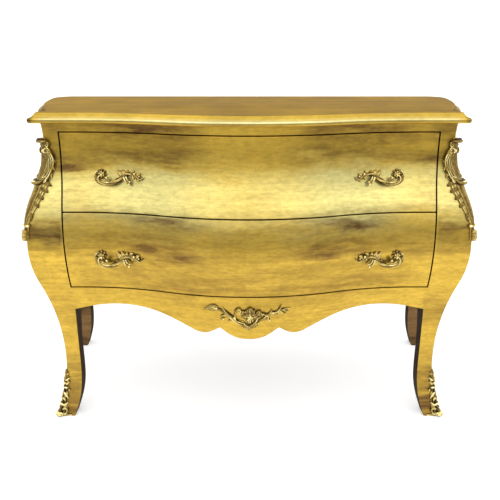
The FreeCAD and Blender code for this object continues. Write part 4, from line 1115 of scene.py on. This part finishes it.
def heavier(strokes, weight):
    """Strokes with larger radii or half widths."""
    return [[knot[:3] + (knot[3] * weight,) for knot in stroke] for stroke in strokes]


def make_pulls():
    """Asymmetric rocaille pulls with a petalled rosette, double scrolls, buds and leaves."""
    for drawer, (reach, height) in PULL_PLACES.items():
        for name, side in SIDES:
            pull = Casting(lambda u, v, w: front_point(side * (reach - u), height + v, w), side > 0)
            pull.flower(*PULL_ROSETTE, tone=0.8)
            pull.flower(*PULL_HEART, tone=1.3)
            pull.tube(PULL_SCROLL, 3, 0.25, 0.72)
            pull.tubes(heavier(PULL_STRANDS, PULL_STRAND_WEIGHT), 2, 0.2)
            pull.leaves(heavier(PULL_LEAVES, PULL_LEAF_WEIGHT), 1.6)
            pull.beads(PULL_BEADS)
            pull.build(f"{drawer}_{name}_pull", f"{drawer}_drawer", f"{drawer}_{name}_handle")


# Apron mount: place from the middle, height above the floor, distance from the ground, radius or half width

GARLAND_STRANDS = (
    ((-104, 370, 4, 1.2), (-90, 368, 5, 2.4), (-75, 361.5, 6, 2.8), (-62, 351, 6, 3.0),
     (-51.5, 340.8, 7, 3.2), (-42.4, 332.6, 7, 3.3), (-33.4, 324.5, 7, 3.3), (-22.5, 318.4, 7, 3.2),
     (-11.6, 315.3, 7, 2.8)),
    ((-68.5, 369, 4, 0.8), (-62.4, 359, 5, 2.0), (-51.5, 347.5, 7, 2.6), (-42.4, 338, 8, 2.8),
     (-35, 331, 8, 2.6), (-27, 326, 8, 2.4), (-15, 323, 8, 1.8)),
    ((-57, 347, 5, 1.6), (-66, 345, 5, 2.2), (-73, 339.5, 5, 2.4), (-72, 334, 5, 2.2), (-66, 334, 5, 1.2)),
    ((-33, 327, 7, 1.8), (-37.5, 339.8, 8, 2.8), (-37, 352, 9, 2.8), (-33, 362, 9, 2.8),
     (-26.5, 365, 9, 2.6), (-21.5, 361.5, 9, 2.2), (-23, 357, 9, 1.6)),
    ((12, 318, 7, 2.0), (17.4, 320.4, 7, 2.4), (24.7, 326, 7, 2.6), (33.7, 332.6, 7, 2.6),
     (41, 341, 7, 2.6), (47, 347, 7, 2.6)),
    ((27, 352, 7, 2.0), (35, 351.5, 7, 2.4), (43, 347.5, 7, 2.8), (49, 347.5, 7, 2.8),
     (55.5, 352.5, 7, 2.8), (62.7, 353.5, 6, 2.6), (71.8, 357, 6, 2.6), (79, 361, 6, 2.2),
     (86.3, 363, 5, 1.8), (96, 365, 4, 1.4), (103, 364.5, 4, 1.2), (109, 361.5, 4, 0.6)),
    ((73, 358, 6, 2.0), (78, 367, 6, 2.2), (82.5, 377.5, 4, 0.8)),
    ((47.5, 346, 6, 2.2), (49.5, 338, 6, 2.2), (52, 331, 5, 2.0)),
    ((79, 360, 5, 1.8), (85, 353.5, 5, 2.0), (93.5, 347, 4, 0.8)),
    ((73, 357, 5, 1.4), (74.5, 351, 5, 1.4), (73, 345.5, 4, 0.7)),
    ((1, 344, 11, 1.4), (-4, 334, 10, 2.2), (-8.5, 324, 8, 1.4)),
    ((1, 344, 11, 1.4), (-1, 333, 11, 2.4), (-2.5, 321, 8, 1.6)),
    ((2, 344, 11, 1.4), (3, 333, 11, 2.4), (4, 321, 8, 1.6)),
    ((3, 344, 11, 1.4), (8, 335, 10, 2.2), (11, 325, 8, 1.4)),
    ((-14.5, 323, 7, 1.6), (-9, 317, 8, 2.6), (0, 314, 10, 3.2), (9, 317.5, 10, 3.2),
     (15.5, 325, 10, 2.8), (20, 335, 9, 2.2), (21, 341, 7, 1.2)))
GARLAND_LEAVES = (
    ((-84, 369, 3, 3.0), (-96, 369, 5, 6.0), (-108, 365, 4, 4.5), (-117, 361.5, 2, 0.5)),
    ((-80, 368, 4, 3.0), (-91, 372.5, 5, 4.5), (-104, 375, 3, 0.5)),
    ((-80, 365, 3, 3.0), (-91, 362, 4, 4.5), (-103, 357.5, 2, 0.5)),
    ((1, 343, 3, 6.0), (1, 331, 2, 11.0), (1, 319, 2, 9.0)),
    ((51, 349, 6, 2.0), (56, 356.5, 6, 3.0), (58, 363.5, 4, 0.5)),
    ((36, 335, 5, 2.0), (42, 334, 5, 3.2), (48.5, 336.5, 3, 0.5)),
    ((60, 353, 5, 2.4), (67, 349.5, 5, 3.4), (75, 349.5, 3, 0.5)),
    ((84, 362, 5, 2.2), (92, 358.5, 5, 3.4), (101, 357, 3, 0.5)),
    ((-42, 338, 6, 2.2), (-48, 331, 6, 3.2), (-55, 327.5, 3, 0.5)),
    ((-13, 316, 6, 3.0), (-17.5, 313, 5, 2.8), (-22.5, 311, 3, 0.5)),
    ((-9, 314, 6, 3.2), (-13, 308.5, 5, 3.2), (-16, 303.5, 3, 0.5)),
    ((-4, 312, 6, 3.2), (-6.5, 306, 5, 3.4), (-8.5, 300, 3, 0.5)),
    ((0.5, 312, 6, 3.4), (0, 305, 5, 3.8), (-0.5, 296.5, 3, 0.5)),
    ((5.5, 313, 6, 3.2), (7, 307, 5, 3.4), (8, 301, 3, 0.5)),
    ((10.5, 316, 6, 3.2), (14, 310.5, 5, 3.2), (16.5, 305, 3, 0.5)),
    ((14, 320, 6, 3.0), (19, 315.5, 5, 3.0), (23, 311, 3, 0.5)))
GARLAND_PETALS = (
    ((0, 338, 6, 3.0), (1, 348, 12, 8.5), (1.5, 358, 13, 9.5), (1, 366, 10, 6.5), (0, 371, 5, 1.5)),
    ((-4, 339, 6, 3.0), (-10, 345, 11, 6.5), (-15, 352, 12, 7.5), (-18, 358, 9, 4.5), (-19, 361, 4, 1.0)),
    ((6, 339, 6, 3.0), (14, 344, 11, 7.0), (21, 350, 13, 8.5), (26, 357, 10, 6.0), (28, 362, 4, 1.5)),
    ((18, 343, 6, 2.0), (26, 344, 10, 5.0), (33, 347, 9, 3.5), (37, 351, 4, 0.8)),
    ((-5, 337, 6, 2.0), (-11, 340, 9, 3.5), (-17, 342, 7, 2.5), (-21, 341, 3, 0.6)),
    ((-3, 347, 11, 2.0), (-7, 353, 14, 3.0), (-9, 359, 13, 2.0), (-8, 363, 9, 0.6)),
    ((9, 346, 11, 2.0), (12, 353, 14, 3.4), (12, 360, 13, 2.4), (14, 365, 9, 0.6)))
GARLAND_FLATNESS = 0.62
GARLAND_LIFT = 0.003
GARLAND_BEADS = ((-3, 345, 14, 2.6), (3, 347, 15, 3.0), (7.5, 343, 14, 2.4), (-66, 333.6, 5.5, 2.4),
                 (-38, 339.5, 9, 3.6), (52.4, 330, 5.5, 2.6), (-24, 356.5, 9, 2.4), (61, 354, 7, 3.2),
                 (-84, 367.5, 7, 3.4), (94, 346.6, 4, 1.8))


def make_garland():
    """Branching spray on the apron round a ribbed shell."""
    garland = Casting(lambda u, v, w: front_point(u, v + GARLAND_LIFT, GARLAND_FLATNESS * w), False)
    garland.tubes(GARLAND_STRANDS, 2, 0.2, 0.85)
    garland.leaves(GARLAND_LEAVES, 1.6, tone=0.8)
    garland.leaves(GARLAND_PETALS, 2.4, 2, 0.35, 1.4, 0.82)
    garland.beads(GARLAND_BEADS)
    garland.build("garland", "carcass", "apron_mount")


# Corner and foot mounts: distance round the corner, height, distance from the ground, radius or half width

def corner_ground(side):
    """Ground that runs from the front of a post round its corner to the side."""
    bend = ARRIS_RADIUS * math.pi / 4

    def ground(u, v, w):
        step = EDGE_RADIUS
        out = swell(v)
        slope = (swell(v + step) - swell(v - step)) / (2 * step)
        x = NECK_HALF + out
        y = NECK_Y - out
        angle = math.radians(-45 + 45 * min(max(u / bend, -1), 1))
        away = Vector((math.cos(angle), math.sin(angle), 0))
        place = Vector((x - ARRIS_RADIUS, y + ARRIS_RADIUS, v)) + away * ARRIS_RADIUS
        if u < -bend:
            place.x += u + bend
        elif u > bend:
            place.y += u - bend
        away.z = -slope
        place += away.normalized() * w
        return Vector((side * place.x, place.y, place.z))

    return ground


# Height, half width, height of its middle and of its edges above the ground
CHUTE_DISH = ((788, 7, 6, 4), (780, 9, 6, 4), (770, 11, 5.5, 5), (761, 14, 5.5, 6), (752, 21, 5, 6),
              (741, 28, 4.6, 6.5), (731, 32, 4.4, 6.5), (720, 30.5, 4.4, 6.5), (707, 28.5, 4.6, 6.5),
              (694, 25, 5, 6), (684, 19, 6.5, 5.5), (676, 15, 7, 5))
CHUTE_LEAF = ((684, 16, 7, 4), (673, 24, 8, 4.5), (658, 22.5, 8, 4.5), (640, 18.5, 8, 4.5),
              (622, 15, 8, 4.5), (606, 10, 7.5, 4), (592, 6, 7, 3.5), (578, 3.6, 6, 3))
CHUTE_RIMS = (
    ((-7, 772, 5, 1.6), (-14, 762, 6, 2.6), (-23, 751, 7, 3.0), (-30, 738, 7.5, 3.0),
     (-31, 724, 7.5, 3.0), (-29, 708, 7.5, 3.0), (-23, 692, 8, 3.0), (-13, 681, 8, 2.4)),
    ((-6, 766, 5, 1.4), (-13, 756, 6, 2.2), (-20, 746, 6, 2.4), (-24.5, 735, 6, 2.4), (-25, 722, 6, 2.4),
     (-22.5, 707, 6, 2.4), (-16, 693, 6, 2.2), (-7, 684, 7, 1.6)),
    ((-6, 758, 5, 1.2), (-12, 750, 5, 1.8), (-17, 740, 5, 2.0), (-19, 729, 5, 2.0), (-17.5, 714, 5, 2.0),
     (-11, 699, 5, 1.8), (-5, 690, 6, 1.2)),
    ((-5, 747, 4, 1.0), (-10, 740, 3.5, 1.4), (-12.8, 731, 3.5, 1.6), (-11.5, 718, 3.5, 1.4),
     (-6, 704, 4, 1.0)))
CHUTE_VOLUTES = (
    ((-6, 777, 6, 1.6), (-12, 778, 6, 2.4), (-16, 773.5, 6, 2.6), (-14, 768.5, 6, 2.4),
     (-10, 769.5, 7, 2.0)),
    ((-15, 751, 6, 1.8), (-14, 759, 6, 2.6), (-8, 762.5, 6, 2.8), (-3, 757.5, 6, 2.8), (-6, 751, 6, 2.6),
     (-9.5, 755, 7, 2.2)),
    ((-8, 690, 8, 2.2), (-15, 692, 8, 2.8), (-20.5, 688, 8, 2.8), (-20, 681.5, 8, 2.6), (-15, 680, 9, 2.4)))
CHUTE_BANDS = (
    ((-13, 777, 4, 4.2), (-7, 781, 6, 6.0), (0, 782, 7, 7.0), (7, 781, 6, 6.0), (13, 777, 4, 4.2)),
    ((-19, 687, 5, 3.0), (-10, 681, 7, 5.4), (0, 678, 8, 8.0), (10, 681, 7, 5.4), (19, 687, 5, 3.0)))
CHUTE_STEM = ((596, 6, 5, 3), (584, 4.5, 5, 3), (574, 6, 5, 3), (562, 6, 5, 3), (550, 6.5, 5, 3),
              (541, 6, 4, 2))
CHUTE_LOBES = (
    ((-10, 680, 6, 5.0), (-20, 677, 6, 5.2), (-29, 674, 5, 3.8), (-36, 671, 3, 0.8)),
    ((-10, 666, 6, 5.6), (-19, 662, 6, 5.4), (-26, 659, 5, 3.8), (-31.5, 656, 3, 0.8)),
    ((-8, 650, 6, 5.6), (-15, 646, 6, 5.2), (-21, 642, 5, 3.8), (-26, 639, 3, 0.8)),
    ((-6, 633, 6, 5.2), (-12, 628, 6, 4.8), (-17, 624, 5, 3.4), (-21, 620, 3, 0.8)),
    ((-4, 612, 5, 3.6), (-7, 605, 5, 3.4), (-8.5, 597, 4, 2.4), (-8.5, 588, 2, 0.6)))
CHUTE_SPIKES = (
    ((-26, 734, 6, 3.4), (-31, 732, 6, 3.0), (-36, 729, 3, 0.5)),
    ((-29, 716, 6, 3.0), (-32.5, 713, 5, 2.4), (-35, 709, 3, 0.4)),
    ((-26, 700, 6, 3.0), (-29.5, 696, 5, 2.4), (-31.5, 691, 3, 0.4)))
CHUTE_BEADS = ((-5, 577, 4, 4.6), (5, 577, 4, 4.6), (0, 678, 10, 5.0))
CHUTE_REACH = 0.88
CHUTE_RELIEF = 1.45
CHUTE_TAIL = ((0, 567, 4, 3.0), (0, 562, 4.4, 5.4), (0, 558.5, 4, 4.2), (0, 555, 4.4, 5.6),
              (0, 551.5, 4, 4.4), (0, 548, 4, 5.8), (0, 544, 4, 4.6), (0, 541, 3.4, 4.2))


def mirror(strokes):
    """Strokes on both faces of a corner."""
    return strokes + tuple(tuple((-knot[0],) + knot[1:] for knot in stroke) for stroke in strokes)


def make_chutes():
    """Corner mounts: roll, ribbed shell, knot, leaf, bud, bead and tail."""
    for name, side in SIDES:
        corner = corner_ground(side)
        chute = Casting(lambda u, v, w: corner(CHUTE_REACH * u, v, CHUTE_RELIEF * w), side < 0)
        chute.plate(CHUTE_DISH, tone=1.15)
        chute.plate(CHUTE_LEAF, 3, 1.25, 0.35)
        chute.plate(CHUTE_STEM)
        chute.tubes(mirror(CHUTE_RIMS) + mirror(CHUTE_VOLUTES), 2, 0.35)
        chute.tubes(CHUTE_BANDS, 3, 0.5, 0.52)
        chute.leaves(mirror(CHUTE_LOBES), 1.4, 1, 0.1, 0.3, 0.8)
        chute.leaves(mirror(CHUTE_SPIKES), 1.6)
        chute.tube(CHUTE_TAIL, tone=0.58)
        chute.beads(CHUTE_BEADS)
        chute.build(f"{name}_chute", "carcass", f"{name}_corner_mount")


SABOT_BODY = ((138, 1.2, 3, 1), (126, 4.5, 5, 2), (108, 7, 5.5, 2.5), (88, 8, 5.5, 2.5),
              (66, 9.5, 6, 2.5), (46, 11, 6, 2.5), (28, 14, 7, 2.5), (14, 17, 8, 3), (3, 18, 8, 3))
SABOT_LIPS = (
    ((-1, 124, 5, 1.2), (-4, 125, 5, 1.6), (-6, 129, 4, 1.0)),
    ((-9.5, 114, 3, 0.8), (-6, 111, 6, 2.3), (-2, 106, 6, 1.8)),
    ((-11, 101, 3, 0.8), (-7, 99, 6, 2.5), (-2, 97, 6, 2.2), (0, 99, 5, 1.0)),
    ((-1, 86, 6, 2.4), (-4, 84, 6, 2.7), (-7, 85, 5, 1.2)),
    ((-10, 79.5, 4, 1.6), (-11.5, 76, 4, 2.0), (-10.5, 72, 3, 1.0)),
    ((-1, 70, 6, 1.2), (-5, 63, 7, 2.1), (-9, 58, 6, 2.0), (-12.5, 51, 4, 0.8)),
    ((-1, 54, 6, 2.3), (-4, 50, 7, 2.4), (-5, 45, 6, 1.2)),
    ((-14, 40, 4, 1.2), (-10, 36, 6, 2.0), (-4, 34, 8, 2.6), (0, 38, 8, 1.4)))
SABOT_LEAVES = (
    ((0, 108, 4, 3.0), (0, 122, 4, 4.0), (0, 139, 2, 0.5)),
    ((-3, 92, 4, 2.6), (-5, 99, 4, 3.2), (-4, 108, 3, 0.6)),
    ((-4, 56, 5, 2.8), (-6, 64, 5, 3.6), (-4.5, 74, 3, 0.6)),
    ((-5, 20, 5, 3.4), (-8, 30, 5, 4.6), (-6, 42, 3, 0.8)))
SABOT_SCROLLS = (
    ((-3, 22, 8, 1.8), (-11, 22, 7, 2.6), (-17, 16, 6, 2.8), (-15.5, 9, 6, 2.8), (-10, 8, 7, 2.6),
     (-9.5, 13, 8, 2.4)),
    ((-2, 12, 9, 2.4), (-6, 7, 9, 3.2), (-3, 3.6, 10, 3.4), (0, 5.5, 12, 3.2)),
    ((-1, 3.6, 7, 2.6), (-10, 3.6, 3.4, 3.2), (-22, 3.6, 1.2, 3.4), (-33, 3.6, 0.6, 3.0)))
SABOT_BEAD = (0, 8, 9, 4.8)


def make_sabots():
    """Foot mounts: climbing leaves over a toe scroll."""
    for name, side in SIDES:
        sabot = Casting(corner_ground(side), side < 0)
        sabot.plate(SABOT_BODY, 2, 0.55)
        for number, strand in enumerate(mirror(SABOT_LIPS)):
            sabot.tube(strand, tone=1.0 if number % 2 else 0.75)
        sabot.leaves(mirror(SABOT_LEAVES), 1.8)
        sabot.tubes(mirror(SABOT_SCROLLS), 2, 0.3)
        sabot.bead(*SABOT_BEAD)
        sabot.build(f"{name}_foot_mount", "carcass", f"{name}_sabot")


# Pins through the mounts, and nuts of the pulls inside the drawers

PIN_RADIUS = 1.7
CORNER_PINS = ((-14, 746, 7), (14, 746, 7), (-13, 655, 10), (13, 655, 10), (-7, 96, 5), (7, 96, 5),
               (-11, 24, 6), (11, 24, 6))
APRON_PINS = ((-58, 352, 6), (30, 333, 6), (88, 366, 4))
NUT_PLACES = (2, 58)
# Reach from the bolt's axis, distance behind the front, and whether the ring is a hexagon
NUT_RINGS = ((6.5, -0.5, False), (6.5, 1, False), (4.6, 1, True), (4.6, 4.6, True), (4.0, 5, True),
             (2.6, 5, False), (2.6, 8, False), (2.0, 8.6, False))
NUT_STEPS = 24
NUT_RELIEF = 0.6


def make_pins():
    """Heads of the pins that hold the mounts."""
    for name, side in SIDES:
        pins = Casting(corner_ground(side), side < 0)
        pins.beads([(*place, PIN_RADIUS) for place in CORNER_PINS])
        pins.build(f"{name}_mount_pins", "carcass")
    pins = Casting(front_point, False)
    pins.beads([(*place, PIN_RADIUS) for place in APRON_PINS])
    pins.build("garland_pins", "carcass")


def hexagon(turn):
    """Reach of a hexagon's edge as a share of its corners' reach."""
    half_side = math.pi / 6
    return math.cos(half_side) / math.cos((turn + half_side) % (2 * half_side) - half_side)


def make_nuts():
    """Washer, hexagon nut and bolt end behind each fixing of the pulls."""
    for drawer, (reach, height) in PULL_PLACES.items():
        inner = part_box(f"{drawer}_drawer_front")[1].y
        nuts = Casting(lambda u, v, w: Vector((u, inner - bow(u) + w, height + v)), True)
        for middle in [side * (reach / MM - place) for side in (-1, 1) for place in NUT_PLACES]:
            rows = []
            for radius, behind, six_sided in NUT_RINGS:
                row = []
                for turn in full_turn(NUT_STEPS):
                    out = radius * hexagon(turn) if six_sided else radius
                    place = (middle + out * math.cos(turn), out * math.sin(turn), behind)
                    row.append(nuts.point(*place, NUT_RELIEF))
                rows.append(row)
            nuts.skin(rows, True)
            nuts.cap(rows[-1])
        nuts.build(f"{drawer}_pull_nuts", f"{drawer}_drawer")


make_fronts()
make_posts()
make_sides()
make_top()
dress_boards()
make_pulls()
make_garland()
make_chutes()
make_sabots()
make_pins()
make_nuts()


# Floor, light and camera

STAGE_HALF_WIDTH = 6.0
STAGE_FRONT = -1.75
STAGE_BACK = 5.0
BACKDROP_HEIGHT = 4.0


STAGE_TONE = 0.8
FLOOR_GLOW = 0.45
WALL_GLOW = 0.6


def stage_material(name, glow):
    """Pale matt surface that camera, reflections and clear pieces see as white."""
    material, tree, surface = shader(name)
    path = add(tree, "LightPath")
    seen = path.outputs["Is Camera Ray"]
    for ray in ("Is Glossy Ray", "Is Transmission Ray"):
        seen = maths(tree, "MAXIMUM", seen, path.outputs[ray])
    fill(tree, surface, {
        "Base Color": (*grey(STAGE_TONE), 1),
        "Roughness": 0.9,
        "Specular IOR Level": 0,
        "Emission Color": (1, 1, 1, 1),
        "Emission Strength": maths(tree, "MULTIPLY", seen, glow)})
    return material


def stage_piece(name, corners, material):
    """Flat piece of the set."""
    mesh = bpy.data.meshes.new(name)
    mesh.from_pydata(corners, [], [(0, 1, 2, 3)])
    mesh.materials.append(material)
    placed(name, mesh)


def make_stage():
    """Pale floor and backdrop on three sides."""
    wide, front, back, high = STAGE_HALF_WIDTH, STAGE_FRONT, STAGE_BACK, BACKDROP_HEIGHT
    floor = stage_material("floor", FLOOR_GLOW)
    stage_piece("floor", [(-wide, front, 0), (wide, front, 0), (wide, back, 0), (-wide, back, 0)], floor)
    wall = stage_material("backdrop", WALL_GLOW)
    stage_piece("backdrop", [(-wide, back, 0), (wide, back, 0), (wide, back, high),
    (-wide, back, high)], wall)
    for name, side in (("left_wall", -wide), ("right_wall", wide)):
        stage_piece(name, [(side, front, 0), (side, back, 0), (side, back, high),
        (side, front, high)], wall)


# Studio light by height: place from straight down (0) over the horizon (0.5) to straight up (1), and level
STUDIO_FRONT = ((0.35, 0.58), (0.42, 0.54), (0.47, 0.41), (0.5, 0.36), (0.55, 0.44), (0.62, 1.08),
                (0.68, 1.42), (0.8, 1.42), (1, 1.3))
STUDIO_SIDES = ((0.35, 0.5), (0.42, 0.46), (0.47, 0.3), (0.5, 0.24), (0.55, 0.29), (0.63, 1.02),
                (0.69, 1.42), (0.8, 1.42), (1, 1.3))


def make_world():
    """Soft studio, dim at the horizon and bright above the camera."""
    world = bpy.data.worlds.new("studio")
    bpy.context.scene.world = world
    world.use_nodes = True
    tree = world.node_tree
    background = tree.nodes["Background"]
    axes = add(tree, "SeparateXYZ", {0: add(tree, "TexCoord").outputs["Generated"]})
    height = maths(tree, "MULTIPLY_ADD", axes.outputs["Z"], 0.5, 0.5)
    aside = maths(tree, "ABSOLUTE", axes.outputs["X"])
    studio = mixed(tree, aside, table(tree, height, STUDIO_FRONT), table(tree, height, STUDIO_SIDES))
    fill(tree, background, {"Color": studio})


SOFTBOX_PLACE = Vector((0, -2.6, 2.2))
SOFTBOX_TARGET = Vector((0, NECK_Y, 0.6))
SOFTBOX_WIDTH = 3.6
SOFTBOX_HEIGHT = 1.0
SOFTBOX_POWER = 9


def make_softbox():
    """Wide soft lamp above the camera."""
    lamp = bpy.data.lights.new("softbox", "AREA")
    lamp.shape = "RECTANGLE"
    lamp.size = SOFTBOX_WIDTH
    lamp.size_y = SOFTBOX_HEIGHT
    lamp.energy = SOFTBOX_POWER
    holder = placed("softbox", lamp)
    holder.location = SOFTBOX_PLACE
    holder.rotation_euler = (SOFTBOX_TARGET - SOFTBOX_PLACE).to_track_quat("-Z", "Y").to_euler()


# Camera as fitted to the photograph, with its focal length as a share of the frame's width
CAMERA_DISTANCE = 1.415
CAMERA_HEIGHT = 1.015
CAMERA_ASIDE = 0.0018
CAMERA_PITCH = 20.2
FOCAL_SHARE = 572 / 500


def make_camera():
    """Camera in front of the chest, looking down at it."""
    camera = bpy.data.cameras.new("camera")
    camera.sensor_fit = "HORIZONTAL"
    camera.lens = FOCAL_SHARE * camera.sensor_width
    holder = placed("camera", camera)
    holder.location = (CAMERA_ASIDE, NECK_Y - CAMERA_DISTANCE, CAMERA_HEIGHT)
    holder.rotation_euler = (math.radians(90 - CAMERA_PITCH), 0, 0)
    bpy.context.scene.camera = holder


make_stage()
make_world()
make_softbox()
make_camera()
bpy.context.scene.view_settings.view_transform = "Standard"
